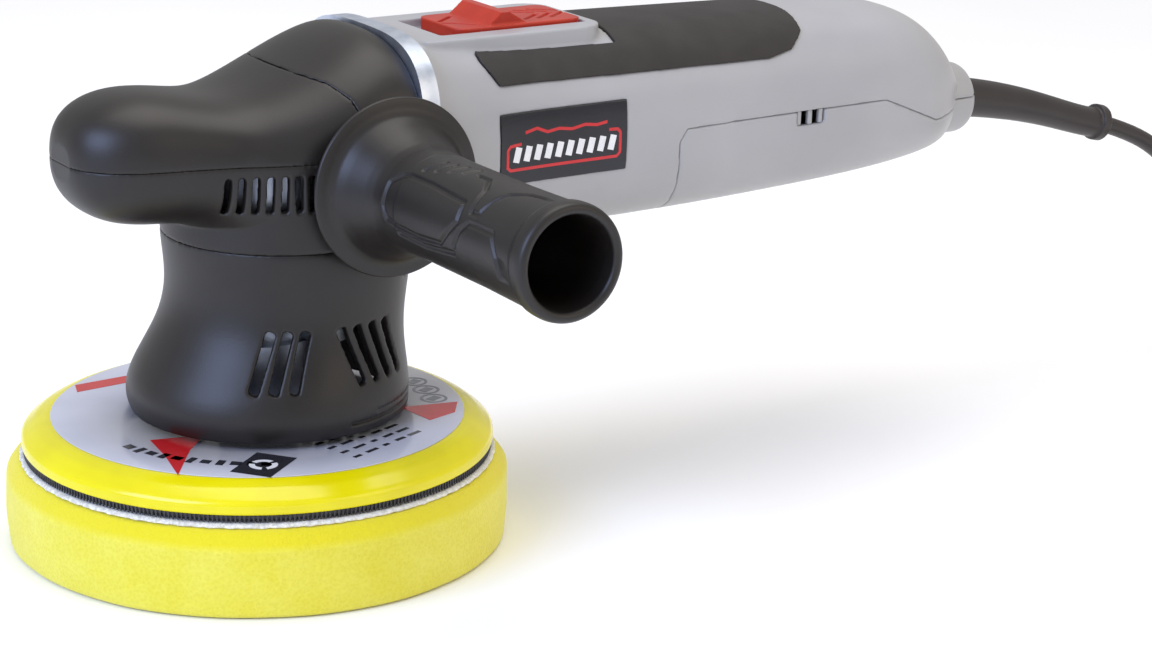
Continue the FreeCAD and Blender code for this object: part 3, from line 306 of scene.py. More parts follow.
def turned(name, profile, segments, centre=(0, 0, 0), push=None, closed=False):
    """A profile of (radius, height) in millimetres spun about Z through centre.
    push(angle, radius, height) may give each point a new radius and height."""
    angles = np.linspace(0, 2 * math.pi, segments, endpoint=False)
    radius, height = (np.array([p[i] for p in profile])[:, None] * np.ones(segments)
                      for i in (0, 1))
    if push:
        radius, height = push(np.ones(len(profile))[:, None] * angles, radius, height)
    points = np.stack([radius * np.cos(angles), radius * np.sin(angles), height], axis=-1)
    points = (points.reshape(-1, 3) + np.array(centre)) * MM
    rows = range(len(profile) if closed else len(profile) - 1)
    quads = [(i * segments + j, i * segments + (j + 1) % segments,
              (i + 1) % len(profile) * segments + (j + 1) % segments,
              (i + 1) % len(profile) * segments + j)
             for i in rows for j in range(segments)]
    shape = bmesh.new()
    corners = [shape.verts.new(p) for p in points]
    for quad in quads:
        shape.faces.new([corners[k] for k in quad])
    bmesh.ops.remove_doubles(shape, verts=shape.verts, dist=1e-6)
    bmesh.ops.recalc_face_normals(shape, faces=shape.faces)
    piece = from_bmesh(name, shape)
    piece.data.shade_smooth()
    return piece


PAD_CENTRE = (-4.0, 0.0, 0.0)
print("helpers ready; the pad turns about x =", PAD_CENTRE[0], "mm")

# %% [markdown]
# ## Finishes
# Each finish is the real material and the way that its surface was made.
# Flat colours look like computer plastic, so each has a faint mottle and the
# grain that the mould or the machine leaves, at a size in millimetres.

# %% Plastics and rubbers
def moulded_plastic(name, first, second, roughness, mottle_mm, grain_mm, depth_mm, ior=1.5):
    """An injection moulding: two near colours, and the mould's spark-eroded grain."""
    material, tree, shader, place = new_finish(name, Roughness=roughness, IOR=ior)
    tree.links.new(mottle(tree, place, mottle_mm, first, second), shader.inputs["Base Color"])
    grain(tree, place, grain_mm, depth_mm, shader)
    return material


# soft-touch nylon covers: dark, with a broad dull sheen off a fine grain
black_nylon = moulded_plastic("soft_touch_nylon", "#171310", "#1d1916", 0.42, 24.0, 0.55, 0.03)
# painted-look ABS: light warm grey, satin, with hardly any grain
grey_abs = moulded_plastic("satin_grey_abs", "#a2a2a4", "#a9a9ab", 0.36, 40.0, 0.7, 0.012)
# thermoplastic rubber of the grip: matt, brownish black, a leathery grain
grip_rubber = moulded_plastic("matt_grip_rubber", "#292523", "#302c2a", 0.7, 12.0, 0.8, 0.08)
# acetal slider: hard, slightly waxy and bright
red_acetal = moulded_plastic("red_acetal", "#a81f05", "#b32607", 0.4, 9.0, 0.9, 0.01, 1.46)
# rubber cord sheath and sleeve: smooth and dark, with a low gloss
cord_rubber = moulded_plastic("smooth_cord_rubber", "#2a2423", "#302a28", 0.42, 30.0, 1.2, 0.02)
# glass-filled mouldings inside: dull, and pale or dark
dark_filled = moulded_plastic("dark_glass_filled_nylon", "#1c1c1e", "#262628", 0.6, 6.0, 0.5, 0.03)
pale_filled = moulded_plastic("pale_glass_filled_polyester", "#c9c6bb", "#d4d1c6", 0.55,
                              6.0, 0.5, 0.03)
# nylon hooks: stiff black bristles that catch a little light
hook_nylon = moulded_plastic("nylon_hooks", "#262526", "#3a393a", 0.5, 1.5, 0.5, 0.05)
# cast polyurethane plate: deep yellow and glossy, a little uneven from casting
yellow_cast = moulded_plastic("cast_yellow_polyurethane", "#e3d600", "#eade04", 0.2,
                              18.0, 6.0, 0.03)
print("plastics:", len(bpy.data.materials))


# %% [markdown]
# ## Metals
# Turned, ground and cast parts are bare metal. A metal could be faked with a
# pale gloss, but only its tinted reflection tells steel from brass, so each is
# fully metallic, with a roughness from how it was machined.

# %% Metals
def machined_metal(name, first, second, roughness, mottle_mm, grain_mm, depth_mm):
    """A metal keeps the default IOR: its colour is its reflection."""
    material, tree, shader, place = new_finish(name, Roughness=roughness, Metallic=1.0)
    tree.links.new(mottle(tree, place, mottle_mm, first, second), shader.inputs["Base Color"])
    grain(tree, place, grain_mm, depth_mm, shader)
    return material


# the blue in this aluminium's colours is a painted reflection of the cool left lamp; the grey
# metal itself is real
aluminium_with_painted_sheen = machined_metal("die_cast_aluminium", "#b9c2d2", "#cdd5e2", 0.38, 5.0, 0.6, 0.04)
ground_steel = machined_metal("ground_steel", "#a9abae", "#bcbec0", 0.28, 8.0, 0.4, 0.01)
gear_steel = machined_metal("oiled_gear_steel", "#6d6d70", "#7c7c80", 0.3, 4.0, 0.5, 0.02)
zinc_plate = machined_metal("zinc_plate", "#90959b", "#a3a8ad", 0.42, 5.0, 0.7, 0.03)
pressed_brass = machined_metal("pressed_brass", "#c9a557", "#d5b365", 0.3, 6.0, 0.5, 0.01)
core_steel = machined_metal("stacked_core_steel", "#77787b", "#86878a", 0.5, 3.0, 0.5, 0.05)
print("with metals:", len(bpy.data.materials))

# %% [markdown]
# ## Windings
# The motor's coils are enamelled wire laid in rows. Each turn could be modelled,
# at a cost of millions of faces inside a closed housing. Bands one wire apart
# give the relief, and their dark and bright stripes are painted shade between
# the turns and painted highlight on them.

# %% Copper wire and carbon
# enamelled wire lies in parallel turns, so bands a wire apart give the relief, with painted shade
# between the turns and painted highlight on them
copper_wire, tree, shader, place = new_finish("enamelled_copper_wire", Roughness=0.35,
                                              Metallic=0.8)
WIRE_MM = 0.9
turns = add_node(tree, "TexWave", {"Vector": place, "Scale": 0.5 / (WIRE_MM * MM),
                                   "Distortion": 0.4}, bands_direction="X")
painted_turn_shading = add_node(tree, "ValToRGB", {"Fac": turns.outputs["Fac"]})
for stop, colour in zip(painted_turn_shading.color_ramp.elements, ("#6b2f14", "#c4703c")):
    stop.color = linear(colour)
tree.links.new(painted_turn_shading.outputs["Color"], shader.inputs["Base Color"])
relief = add_node(tree, "Bump", {"Height": turns.outputs["Fac"], "Distance": 0.2 * MM})
tree.links.new(relief.outputs["Normal"], shader.inputs["Normal"])
pressed_carbon = moulded_plastic("pressed_carbon", "#161617", "#202021", 0.5, 1.5, 0.3, 0.02)
print("with wire and carbon:", len(bpy.data.materials))

# %% [markdown]
# ## Foam and velour
# Foam is a skeleton of burst cells, and velour is a pile of short fibre. Both
# could be real geometry, but at this distance cells of the right size in
# colour and relief read the same, and they stay light.

# %% Polyurethane foam
# Foam blown in a block and cut: a matt skin of burst cells about a millimetre
# wide. Light scatters inside, so the walls glow and the pits are only a shade
# deeper. The sides are painted paler and the skived bevel a deeper yellow:
# painted light and shade.
foam, tree, shader, place = new_finish("open_cell_polyurethane_foam", Roughness=0.95, IOR=1.3,
                                       Sheen_Weight=0.25, Sheen_Roughness=0.6)
CELL_MM = 1.1
cells = add_node(tree, "TexVoronoi", {"Vector": place, "Scale": 1 / (CELL_MM * MM)})
cell_tone = add_node(tree, "ValToRGB", {"Fac": cells.outputs["Distance"]})
for stop, at, colour in zip(cell_tone.color_ramp.elements, (0.15, 0.75), ("#dbcf26", "#e8de48")):
    stop.position, stop.color = at, linear(colour)
bloom = mottle(tree, place, 14.0, "#e0d63a", "#eae466", low=0.3, high=0.72)
blend = add_node(tree, "Mix", {"Factor": 0.45}, data_type="RGBA")
tree.links.new(cell_tone.outputs["Color"], blend.inputs[6])
tree.links.new(bloom, blend.inputs[7])
# painted light and shade: above the sides, the skived bevel is painted a deeper yellow than the
# paler sides
level_of = add_node(tree, "SeparateXYZ", {"Vector": place})
bevel_shading_mask = add_node(tree, "MapRange", {"Value": level_of.outputs["Z"], "From Min": 21.5 * MM,
                                    "From Max": 23.5 * MM})
painted_bevel_shading = add_node(tree, "Mix", {"Factor": bevel_shading_mask.outputs["Result"]}, data_type="RGBA")
painted_bevel_shading.inputs[7].default_value = linear("#e2d518")
tree.links.new(blend.outputs[2], painted_bevel_shading.inputs[6])
tree.links.new(painted_bevel_shading.outputs[2], shader.inputs["Base Color"])
fine_cells = add_node(tree, "TexNoise", {"Vector": place, "Scale": 1 / (0.6 * MM), "Detail": 3.0})
pits = add_node(tree, "Math", {0: cells.outputs["Distance"], 1: fine_cells.outputs["Fac"]},
                operation="MULTIPLY")
relief = add_node(tree, "Bump", {"Height": pits.outputs[0], "Strength": 0.8,
                                 "Distance": 0.45 * MM})
tree.links.new(relief.outputs["Normal"], shader.inputs["Normal"])

# brushed loop velour: short white fibre, all sheen and no gloss
velour, tree, shader, place = new_finish("brushed_loop_velour", Roughness=0.9,
                                         Sheen_Weight=0.6, Sheen_Roughness=0.4)
tree.links.new(mottle(tree, place, 1.2, "#cfcdc2", "#f4f2ea", 3.0), shader.inputs["Base Color"])
grain(tree, place, 0.5, 0.3, shader)
print("with foam and velour:", len(bpy.data.materials))

# %% [markdown]
# ## Print
# The label is a glossy vinyl disc with ink on it. An image could carry the
# print, but plain inks on real shapes stay crisp and hold no picture.

# %% Printed vinyl
vinyl = moulded_plastic("glossy_white_vinyl", "#c3c4cf", "#cdced8", 0.16, 30.0, 9.0, 0.01)
badge_foil = moulded_plastic("glossy_dark_foil", "#101119", "#151620", 0.24, 20.0, 5.0, 0.01)
red_print = moulded_plastic("red_print", "#c31f24", "#cc262a", 0.22, 12.0, 4.0, 0.005)
dark_print = moulded_plastic("black_print", "#24242a", "#2c2c33", 0.22, 12.0, 4.0, 0.005)
grey_print = moulded_plastic("grey_print", "#6f7480", "#7b808c", 0.22, 12.0, 4.0, 0.005)
white_print = moulded_plastic("white_print", "#e6e6e8", "#efeff0", 0.24, 12.0, 4.0, 0.005)
print("all finishes:", len(bpy.data.materials))

# %% [markdown]
# ## Dressing the CAD
# Every CAD piece, seen or hidden, takes the finish that its record names. They
# could be set one by one, but the record already says which is which.

# %% Give every CAD piece the finish of its slot
SLOT_FINISH = {
    "foam": foam, "loop_fabric": velour, "hook_fabric": hook_nylon, "plate_yellow": yellow_cast,
    "label": vinyl, "steel": ground_steel, "zinc": zinc_plate, "aluminium_cast": aluminium_with_painted_sheen,
    "gear_steel": gear_steel, "black_cover": black_nylon, "grey_body": grey_abs,
    "black_rubber": grip_rubber, "switch_red": red_acetal, "badge": badge_foil,
    "copper": copper_wire, "brass": pressed_brass, "laminations": core_steel,
    "carbon": pressed_carbon, "black_plastic": dark_filled, "white_plastic": pale_filled,
    "cord_jacket": cord_rubber}
for part in frame["record"]["subparts"]:
    for material_slot in frame["nodes"][part["node"]].material_slots:
        material_slot.material = SLOT_FINISH[part["material_slot"]]
cord.data.materials.append(cord_rubber)
print("finished CAD pieces:", len(frame["nodes"]))

# %% [markdown]
# ## The foam pad
# A polishing pad is a disc of open-cell foam, cut round and skived at its
# upper edge. It is soft, so no two places on its edge are quite alike. A plain
# cylinder would look hard, so its rings wander by a fraction of a millimetre.

# %% Foam disc
PAD_WANDER = 0.22


def soft_edge(angle, radius, height):
    wander = (np.sin(3 * angle + 0.4) + 0.6 * np.sin(7 * angle + height / 6)
              + 0.35 * np.sin(17 * angle + 1.1 + height / 3)) * PAD_WANDER
    share = np.clip((radius - 60) / 16, 0, 1)
    lift = np.clip((height - 6) / 16, 0, 1) * share
    return radius + wander * share - 0.5 * share, height + 0.5 * wander * lift


foam_profile = eased([(0, 0.15), (40, 0.15), (79.6, 0.15), (80.5, 10), (80.5, 21.6),
                      (79.8, 22.7), (76.4, 27.3), (50, 27.4), (0, 27.4)], 1.6, 6)
foam_pad = turned("foam_disc", divided(foam_profile, 3.0), 300, PAD_CENTRE, soft_edge)
dress(foam_pad, "pad", "foam", foam, "foam_pad")
print("foam radius", round(max(v.co.x for v in foam_pad.data.vertices) / MM - PAD_CENTRE[0], 1))

# %% [markdown]
# ## Hook and loop
# The pad carries white loop velour, and the plate carries black moulded
# hooks. Between the two the hooks show as a dark, toothed line. A bump map
# would leave that line smooth, so the outermost hooks are made one by one.

# %% Loop velour and hooks
def fuzzy(angle, radius, height):
    edge = (radius > 74).astype(float)
    return (radius + edge * (0.12 * np.sin(61 * angle) + 0.12 * np.sin(143 * angle + 0.7)),
            height + edge * 0.06 * np.sin(97 * angle))


loops = turned("loop_velour", eased([(0, 27.5), (75.5, 27.5), (75.7, 28.2), (74.9, 28.8),
                                     (0, 29.0)], 0.5, 3), 720, PAD_CENTRE, fuzzy)
dress(loops, "pad", "loop_fabric", velour, "loop_layer")

HOOK_PITCH, HOOK_WIDE, HOOK_TALL = 1.35, 0.7, 2.3
shape = bmesh.new()
for ring_radius in (74.25, 73.2):
    count = int(2 * math.pi * ring_radius / HOOK_PITCH)
    for k in range(count):
        angle = 2 * math.pi * (k + 0.5 * (ring_radius < 73)) / count
        outward = Vector((math.cos(angle), math.sin(angle), 0))
        across = Vector((-outward.y, outward.x, 0))
        foot = Vector(PAD_CENTRE) + outward * ring_radius + Vector((0, 0, 31.35))
        ring = [shape.verts.new((foot + across * a + outward * o - Vector((0, 0, d))) * MM)
                for d, w in ((0, 1.0), (HOOK_TALL, 0.55))
                for a, o in ((-HOOK_WIDE / 2 * w, -0.35 * w), (HOOK_WIDE / 2 * w, -0.35 * w),
                             (HOOK_WIDE / 2 * w, 0.35 * w), (-HOOK_WIDE / 2 * w, 0.35 * w))]
        for face in ((3, 2, 1, 0), (4, 5, 6, 7), (0, 1, 5, 4), (1, 2, 6, 5), (2, 3, 7, 6),
                     (3, 0, 4, 7)):
            shape.faces.new([ring[i] for i in face])
bmesh.ops.recalc_face_normals(shape, faces=shape.faces)
hook_ring = from_bmesh("hook_ring", shape)
dress(hook_ring, "pad", "hook_fabric", hook_nylon)
hook_sheet = turned("hook_sheet", eased([(0, 29.2), (73.4, 29.4), (74.2, 30.5), (74.2, 31.3),
                                         (0, 31.3)], 0.4, 2), 300, PAD_CENTRE)
dress(hook_sheet, "pad", "hook_fabric", hook_nylon, "hook_layer")
print("hooks:", len(hook_ring.data.vertices) // 8)

# %% [markdown]
# ## Backing plate and its label
# The plate is cast polyurethane: a thick round plate with an upright rim and a
# long, slightly crowned slope up to a flat face, where a printed vinyl disc is
# stuck. All the print here is plain shapes, cut as thin films, so that their
# edges stay crisp however near one looks.

# %% Backing plate
plate_profile = eased([(0, 31.35), (74.6, 31.35), (75.0, 32.0), (75.0, 34.5), (74.2, 35.7),
                       (70.6, 38.4), (66.6, 40.0), (0, 40.0)], 1.1, 5)
plate = turned("backing_plate_cast", divided(plate_profile, 6.0), 300, PAD_CENTRE)
dress(plate, "pad", "plate_yellow", yellow_cast, "backing_plate")
print("plate is", round(plate.dimensions.x / MM, 1), "mm across")

# %% Label and print
FILM_MM = 0.06


def film(name, outlines, height, thick=FILM_MM):
    """Flat closed shapes, each an outline of (x, y) in millimetres, at one height."""
    shape = bmesh.new()
    for outline in outlines:
        foot = [shape.verts.new((Vector((x, y, height)) + Vector(PAD_CENTRE)) * MM)
                for x, y in outline]
        face = shape.faces.new(foot)
        grown = bmesh.ops.extrude_face_region(shape, geom=[face])["geom"]
        bmesh.ops.translate(shape, vec=(0, 0, thick * MM),
                            verts=[v for v in grown if isinstance(v, bmesh.types.BMVert)])
    bmesh.ops.recalc_face_normals(shape, faces=shape.faces)
    return from_bmesh(name, shape)


def circle_at(x, y, radius, count=32, start=0.0, sweep=360.0):
    angles = [math.radians(start + sweep * k / count)
              for k in range(count if sweep == 360.0 else count + 1)]
    return [(x + radius * math.cos(a), y + radius * math.sin(a)) for a in angles]


def arc_band(inner, outer, start, sweep, x=0.0, y=0.0, count=24):
    """A band between two radii, as one outline."""
    return circle_at(x, y, outer, count, start, sweep) + circle_at(
        x, y, inner, count, start + sweep, -sweep)


def bar(x, y, length, height, turn):
    """A bar centred on a point, turned by an angle in degrees."""
    c, s = math.cos(math.radians(turn)), math.sin(math.radians(turn))
    return [(x + c * a - s * b, y + s * a + c * b) for a, b in
            ((-length / 2, -height / 2), (length / 2, -height / 2),
             (length / 2, height / 2), (-length / 2, height / 2))]


label = turned("label_film", eased([(22.2, 40.02), (65.6, 40.02), (65.75, 40.2), (65.6, 40.34),
                                    (22.2, 40.34)], 0.1, 2), 240, PAD_CENTRE, closed=True)
dress(label, "pad", "label", vinyl, "label_disc")

LABEL_TOP = 40.36
red_shapes = [[(-41.4, 50.2), (-21.4, 51.4), (-24.4, 44.6), (-43.8, 43.0)],
              [(-43.4, -12.0), (-26.5, -15.9), (-36.6, -26.4), (-49.6, -45.4), (-45.6, -27.6)],
              [(39.8, -21.3), (58.8, -25.4), (52.7, -34.2), (41.7, -37.3)]]
dark_shapes = [bar(-23.2, -49.6, 19.0, 13.4, 38.0)]
# a row of short heavy strokes, where a plate's size is usually printed
STROKES = ((3.6, 3.2), (2.2, 4.6), (3.4, 3.0), (2.6, 4.4), (3.6, 3.0), (2.2, 4.8), (3.2, 3.0),
           (2.4, 4.4), (3.4, 3.2), (2.4, 3.0), (3.4, 4.6))
for k, (length, tall) in enumerate(STROKES):
    angle = -164.0 + 5.0 * k
    dark_shapes.append(bar(53.5 * math.cos(math.radians(angle)),
                           53.5 * math.sin(math.radians(angle)), length, tall, angle + 84))
for row in range(5):
    for k, length in enumerate((3.4, 5.2, 2.6, 4.4, 5.6)):
        x, y = 5.4 + 6.4 * k - 1.6 * row, -56.4 + 5.4 * row + 2.6 * k * (1 - 0.08 * row)
        if math.hypot(x, y) < 62.0:
            dark_shapes.append(bar(x, y, length, 1.5, 22.0))
ICONS = [(57.0 * math.cos(math.radians(a)), 57.0 * math.sin(math.radians(a)))
         for a in (-19.0, -9.5, 0.0)]
grey_shapes = [arc_band(3.5, 4.5, 0, 359, x, y, 36) for x, y in ICONS]
grey_shapes += [bar(x, y, 4.6, 3.2, 25.0) for x, y in ICONS]
grey_shapes += [bar(-4.0 + 4.6 * k, 45.0 + 3.4 * r, 3.6, 0.9, 2.0)
                for r in range(4) for k in range(6)]
for name, shapes, finish in (("label_red_print", red_shapes, red_print),
                             ("label_dark_print", dark_shapes, dark_print),
                             ("label_grey_print", grey_shapes, grey_print)):
    dress(film(name, shapes, LABEL_TOP), "pad", "label", finish)
icon = film("label_icon_print", [arc_band(2.6, 4.4, a, 95, -23.3, -49.6)
                                 for a in (20, 140, 260)],
            LABEL_TOP + FILM_MM + 0.01)
dress(icon, "pad", "label", white_print)
print("label shapes:", len(red_shapes) + len(dark_shapes) + len(grey_shapes))

# %% [markdown]
# ## Head covers and bell
# The head is clad in nylon covers with a soft-touch grain. They part along a
# level line and behind an S-shaped step, and a bell with slanted slots hangs
# below. Each is cast from its CAD solid.

# %% Cast the head covers
COVER_VOXEL = 0.5
nose = skin("nose_cover_skin", ["nose_cover"], COVER_VOXEL)
dress(nose, "housing", "black_cover", black_nylon, "nose_cover")
rear_top = skin("rear_top_cover_skin", ["rear_top_cover"], COVER_VOXEL)
dress(rear_top, "housing", "black_cover", black_nylon, "rear_top_cover")
lower_head = skin("lower_head_cover_skin", ["lower_head_cover"], COVER_VOXEL)
dress(lower_head, "housing", "black_cover", black_nylon, "lower_head_cover")

# %% Cast the bell
RIM_GROOVES = (46.0, 48.4)
rim_cutters = [turned("groove", [(43.5, z - 0.4), (44.8, z - 0.5), (44.8, z + 0.5),
                                 (43.5, z + 0.4)], 180, closed=True) for z in RIM_GROOVES]
bell = skin("bell_skin", ["shroud"], COVER_VOXEL, cut=rim_cutters)
dress(bell, "housing", "black_cover", black_nylon, "shroud")

# %% [markdown]
# ## Motor housing
# The grey housing is satin ABS in two shells, an upper one and a lower rear
# cover, with a rubber inlay on top, let into the plastic.

# %% Cast the housing
BODY_VOXEL = 0.6
upper = skin("motor_housing_skin", ["motor_housing"], BODY_VOXEL)
dress(upper, "housing", "grey_body", grey_abs, "motor_housing")
lower = skin("lower_rear_cover_skin", ["lower_rear_cover"], BODY_VOXEL)
dress(lower, "housing", "grey_body", grey_abs, "lower_rear_cover")
grille = skin("vent_grille_skin", ["vent_grille"], 0.3, relax=2)
dress(grille, "housing", "grey_body", grey_abs, "vent_grille")
inlay = skin("grip_inlay_skin", ["grip_inlay"], 0.32, relax=3)
dress(inlay, "housing", "black_rubber", grip_rubber, "grip_inlay")

# %% [markdown]
# ## Small mouldings
# The slider, the speed dial, the cord's sleeve and the plug are small
# mouldings. They use the same casting as the covers, with finer voxels, since
# their edges are tighter. Arrow marks are cut before casting, so they soften too.

# %% Slider, dial and sleeve
def box_cutter(x, y, z, length, width, height, turn=0.0, about="Z"):
    """A plain block used only to cut: its centre and sizes in millimetres."""
    shape = bmesh.new()
    bmesh.ops.create_cube(shape, size=1.0)
    bmesh.ops.scale(shape, vec=(length * MM, width * MM, height * MM), verts=shape.verts)
    shape.transform(Matrix.Translation(Vector((x, y, z)) * MM)
                    @ Matrix.Rotation(math.radians(turn), 4, about))
    return from_bmesh("cutter", shape)


# arrow marks for the thumb are sunk in front of the hump and behind it
arrow_cuts = [box_cutter(x, side * 4.4, 159.6, 11.0, 1.5, 1.8, side * turn)
              for x, turn in ((66.5, 38.0), (93.5, -38.0), (98.5, -38.0), (103.5, -38.0))
              for side in (-1, 1)]
slider = skin("switch_slider_skin", ["switch_slider"], 0.26, relax=2,
              cut=arrow_cuts)
dress(slider, "switch", "switch_red", red_acetal, "switch_slider")
dial = skin("speed_dial_skin", ["speed_dial"], 0.25, relax=2)
dress(dial, "dial", "black_plastic", dark_filled, "speed_dial")
sleeve = skin("cord_sleeve_skin", ["cord_boot"], 0.35, relax=4)
dress(sleeve, "housing", "black_rubber", cord_rubber, "cord_boot")
plug = skin("plug_skin", ["plug_body"], 0.5, relax=4)
dress(plug, "housing", "cord_jacket", cord_rubber, "plug_body")

# %% [markdown]
# ## Side handle
# The handle is one moulding, with a thin hand guard that dishes into a round
# grip. Its grooves could be cut with tools, but pushing in the rings of a turned
# form along drawn lines gives even, soft-edged grooves at little cost.

# %% Handle
HANDLE_PLACE = Vector((21.0, -42.0, 120.0)) * MM
GROOVE_WIDE, GROOVE_DEEP = 0.75, 0.75
GRIP_RADIUS = 16.2
# each groove is a line of (distance along the grip, angle about it) in mm and degrees
GRIP_GROOVES = [
    [(23.8, 176), (24.4, 150), (29.0, 138), (31.7, 135), (44.5, 135), (64.4, 139), (65.2, 161),
     (57.0, 190), (43.9, 194), (31.7, 192.5), (25.6, 188), (23.8, 176)],
    [(35.5, 123), (38.4, 101)], [(40.6, 118), (42.8, 98)], [(45.7, 112), (47.4, 94)],
    [(51.0, 107), (52.6, 90)],
    [(56.5, 101), (62.5, 100), (67.7, 117), (69.7, 146), (73.8, 145.5), (75.8, 124),
     (78.0, 111), (84.0, 99), (94.0, 93)],
    [(32.0, 200), (46.0, 202), (64.5, 194)],
    [(65.0, 186), (67.4, 168), (71.0, 157), (84.5, 157), (89.0, 178), (90.0, 196)]]


def groove_depth(angle, along):
    """How deep the grip's moulded lines are at each point of its surface."""
    across = np.degrees(angle) % 360
    nearest = np.full(np.shape(along), 99.0)
    for line_points in GRIP_GROOVES:
        for (a0, t0), (a1, t1) in zip(line_points, line_points[1:]):
            start = np.array([a0, math.radians(t0) * GRIP_RADIUS])
            span = np.array([a1, math.radians(t1) * GRIP_RADIUS]) - start
            da, dt = along - start[0], np.radians(across) * GRIP_RADIUS - start[1]
            share = np.clip((da * span[0] + dt * span[1]) / (span @ span), 0, 1)
            nearest = np.minimum(nearest, np.hypot(da - share * span[0], dt - share * span[1]))
    return GROOVE_DEEP * np.exp(-((nearest / GROOVE_WIDE) ** 4))


def grip_surface(angle, radius, height):
    outer = (radius > 15.4) & (height > 20) & (height < 96)
    oval = 1 + 0.012 * np.cos(2 * angle) * ((height > 30) & (height < 96))
    return np.where(outer, radius * oval - groove_depth(angle, height), radius), height


disc_and_bell = eased([(4.2, 0.0), (17.0, 0.0), (24.5, 1.0), (27.7, 2.2), (28.2, 3.0),
                       (27.9, 3.9), (26.6, 4.3), (24.4, 4.7), (22.4, 6.0), (20.9, 8.6),
                       (19.4, 12.0), (17.9, 15.4), (16.8, 18.6), (16.3, 22.0)], 0.8, 3)
grip_run = divided([(16.3, 22.0), (16.1, 40.0), (16.1, 70.0), (16.5, 90.0)], 0.42)
end_ring = eased([(16.5, 90.0), (16.6, 95.4), (16.9, 96.0), (17.4, 97.2), (17.5, 100.4),
                  (17.1, 102.2), (16.0, 103.0), (14.8, 102.9), (14.0, 102.0), (13.6, 98.0),
                  (13.6, 70.0), (12.9, 41.4), (4.2, 41.0)], 0.7, 3)
handle = turned("side_handle_skin", disc_and_bell[:-1] + grip_run + end_ring[1:], 256,
                push=grip_surface, closed=True)
handle.data.transform(Matrix.Translation(HANDLE_PLACE) @ Matrix.Rotation(math.pi / 2, 4, "X"))
dress(handle, "housing", "black_cover", black_nylon, "side_handle_grip")
print("handle faces:", len(handle.data.polygons))

# %% [markdown]
# ## Badge
# The badge is a foil set flush into the curved side. Its print is ribbons laid
# on the foil: rays dropped on the surface give each point, so they follow the
# curve. It is a plain pattern, with no name on it.

# %% Badge
badge = skin("badge_skin", ["badge_plate"], 0.24, relax=2)
dress(badge, "housing", "badge", badge_foil, "badge_plate")

# %% Badge print
BADGE_PROUD, BADGE_SUNK, BADGE_STEP = 0.06, 0.12, 1.0
# the tree is in millimetres, as the outlines of the print are
badge_face = BVHTree.FromPolygons([v.co / MM for v in badge.data.vertices],
                                  [tuple(p.vertices) for p in badge.data.polygons])


def on_badge(x, z, proud):
    """The point on the badge's face at this x and z, raised by so many millimetres."""
    hit, normal, _, _ = badge_face.ray_cast(Vector((x, -60.0, z)), Vector((0, 1, 0)))
    if hit is None:
        raise ValueError("no badge face at x %.1f, z %.1f" % (x, z))
    return (hit + normal * proud) * MM


def ribbons(name, lines, width):
    """Flat ribbons along lines of (x, z), laid on the badge as closed solids."""
    shape = bmesh.new()
    for path, half in ((p, width / 2) for p in lines):
        path = divided(path, BADGE_STEP)
        rings = []
        for k, point in enumerate(path):
            ahead = (path[min(k + 1, len(path) - 1)] - path[max(k - 1, 0)]).normalized()
            side = Vector((-ahead.y, ahead.x)) * half
            rings.append([shape.verts.new(on_badge(point.x + s * side.x, point.y + s * side.y, p))
                          for s, p in ((-1, BADGE_PROUD), (1, BADGE_PROUD),
                                       (1, -BADGE_SUNK), (-1, -BADGE_SUNK))])
        for a, b in zip(rings, rings[1:]):
            for k in range(4):
                shape.faces.new((a[k], a[(k + 1) % 4], b[(k + 1) % 4], b[k]))
        shape.faces.new(rings[0][::-1])
        shape.faces.new(rings[-1])
    bmesh.ops.recalc_face_normals(shape, faces=shape.faces)
    return from_bmesh(name, shape)


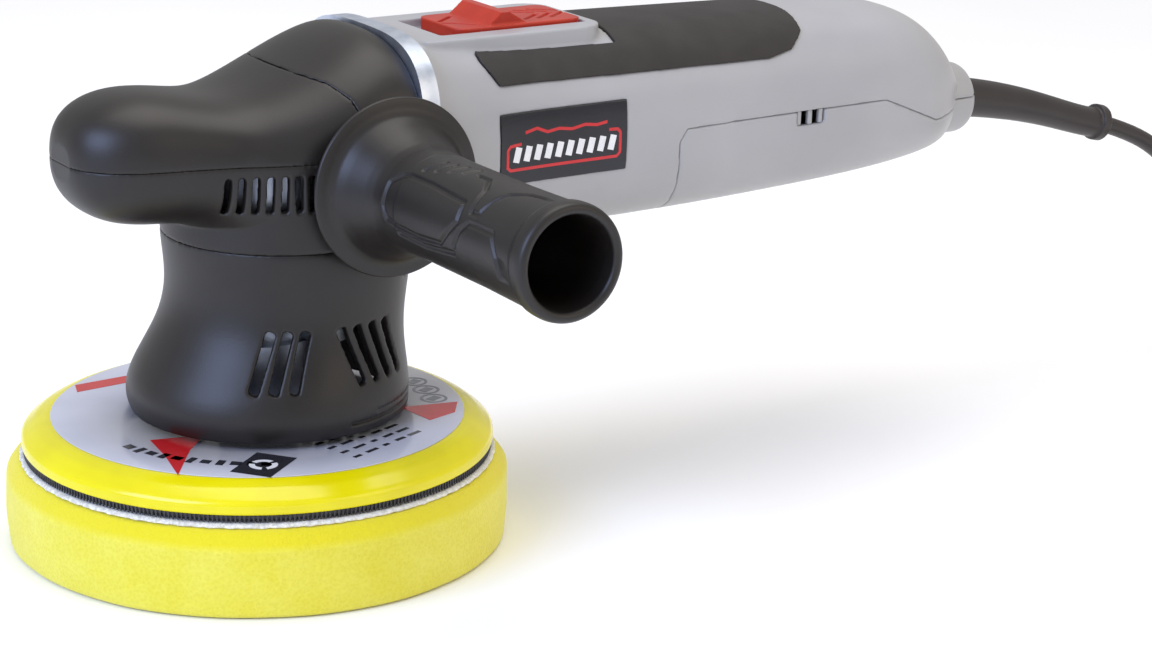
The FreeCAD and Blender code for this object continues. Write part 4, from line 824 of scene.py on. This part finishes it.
red_frame = [[(71.5, 126.0), (67.2, 125.6), (66.2, 124.4), (66.2, 118.8), (67.4, 117.8),
              (108.4, 117.8), (109.6, 119.0), (109.6, 125.6), (108.6, 126.8), (105.2, 126.9)],
             [(73.0, 129.4), (77.5, 130.4), (81.5, 128.8), (86.0, 129.4), (91.0, 128.7),
              (96.0, 129.6), (100.5, 129.0), (104.5, 129.6)]]
white_bars = [[(69.4 + 4.05 * k, 120.2), (70.6 + 4.05 * k, 125.0)] for k in range(10)]
dress(ribbons("badge_red_print", red_frame, 1.0), "housing", "badge", red_print)
dress(ribbons("badge_white_print", white_bars, 2.4), "housing", "badge", white_print)
print("badge ribbons:", len(red_frame) + len(white_bars))

# %% [markdown]
# ## Studio
# The object stands on a plain pale sweep. One broad cool lamp from the left
# gives the dark covers their bluish sheen, a warmer one fills from the right,
# and one overhead lights the grey housing.

# %% Floor and lamps
floor = linked("floor", bpy.data.meshes.new("floor"))
shape = bmesh.new()
bmesh.ops.create_grid(shape, x_segments=8, y_segments=8, size=4.0)
bmesh.ops.translate(shape, vec=(0, 0, -0.0002), verts=shape.verts)
shape.to_mesh(floor.data)
shape.free()
paper = moulded_plastic("pale_paper", "#fbfbfb", "#fdfdfd", 0.9, 200.0, 2.0, 0.01)
floor.data.materials.append(paper)


def lamp(name, colour, watts, width, height, place, aim):
    light = bpy.data.lights.new(name, "AREA")
    light.shape, light.size, light.size_y = "RECTANGLE", width, height
    light.energy, light.color = watts, linear(colour)[:3]
    obj = bpy.data.objects.new(name, light)
    bpy.context.scene.collection.objects.link(obj)
    obj.location = place
    obj.rotation_euler = (Vector(aim) - Vector(place)).to_track_quat("-Z", "Y").to_euler()
    return obj


lamp("left_softbox", "#b9cdff", 27.0, 1.2, 1.0, (-1.5, -0.35, 1.0), (0.05, 0, 0.1))
lamp("top_softbox", "#fffaf4", 15.0, 1.4, 1.4, (0.3, 0.1, 1.7), (0.1, 0, 0.1))
lamp("right_fill", "#ffeeda", 6.0, 1.2, 1.0, (0.9, -1.5, 0.9), (0.15, 0, 0.1))
sky = bpy.data.worlds.new("studio_air")
sky.use_nodes = True
sky.node_tree.nodes["Background"].inputs["Color"].default_value = linear("#ffffff")
sky.node_tree.nodes["Background"].inputs["Strength"].default_value = 0.58
bpy.context.scene.world = sky
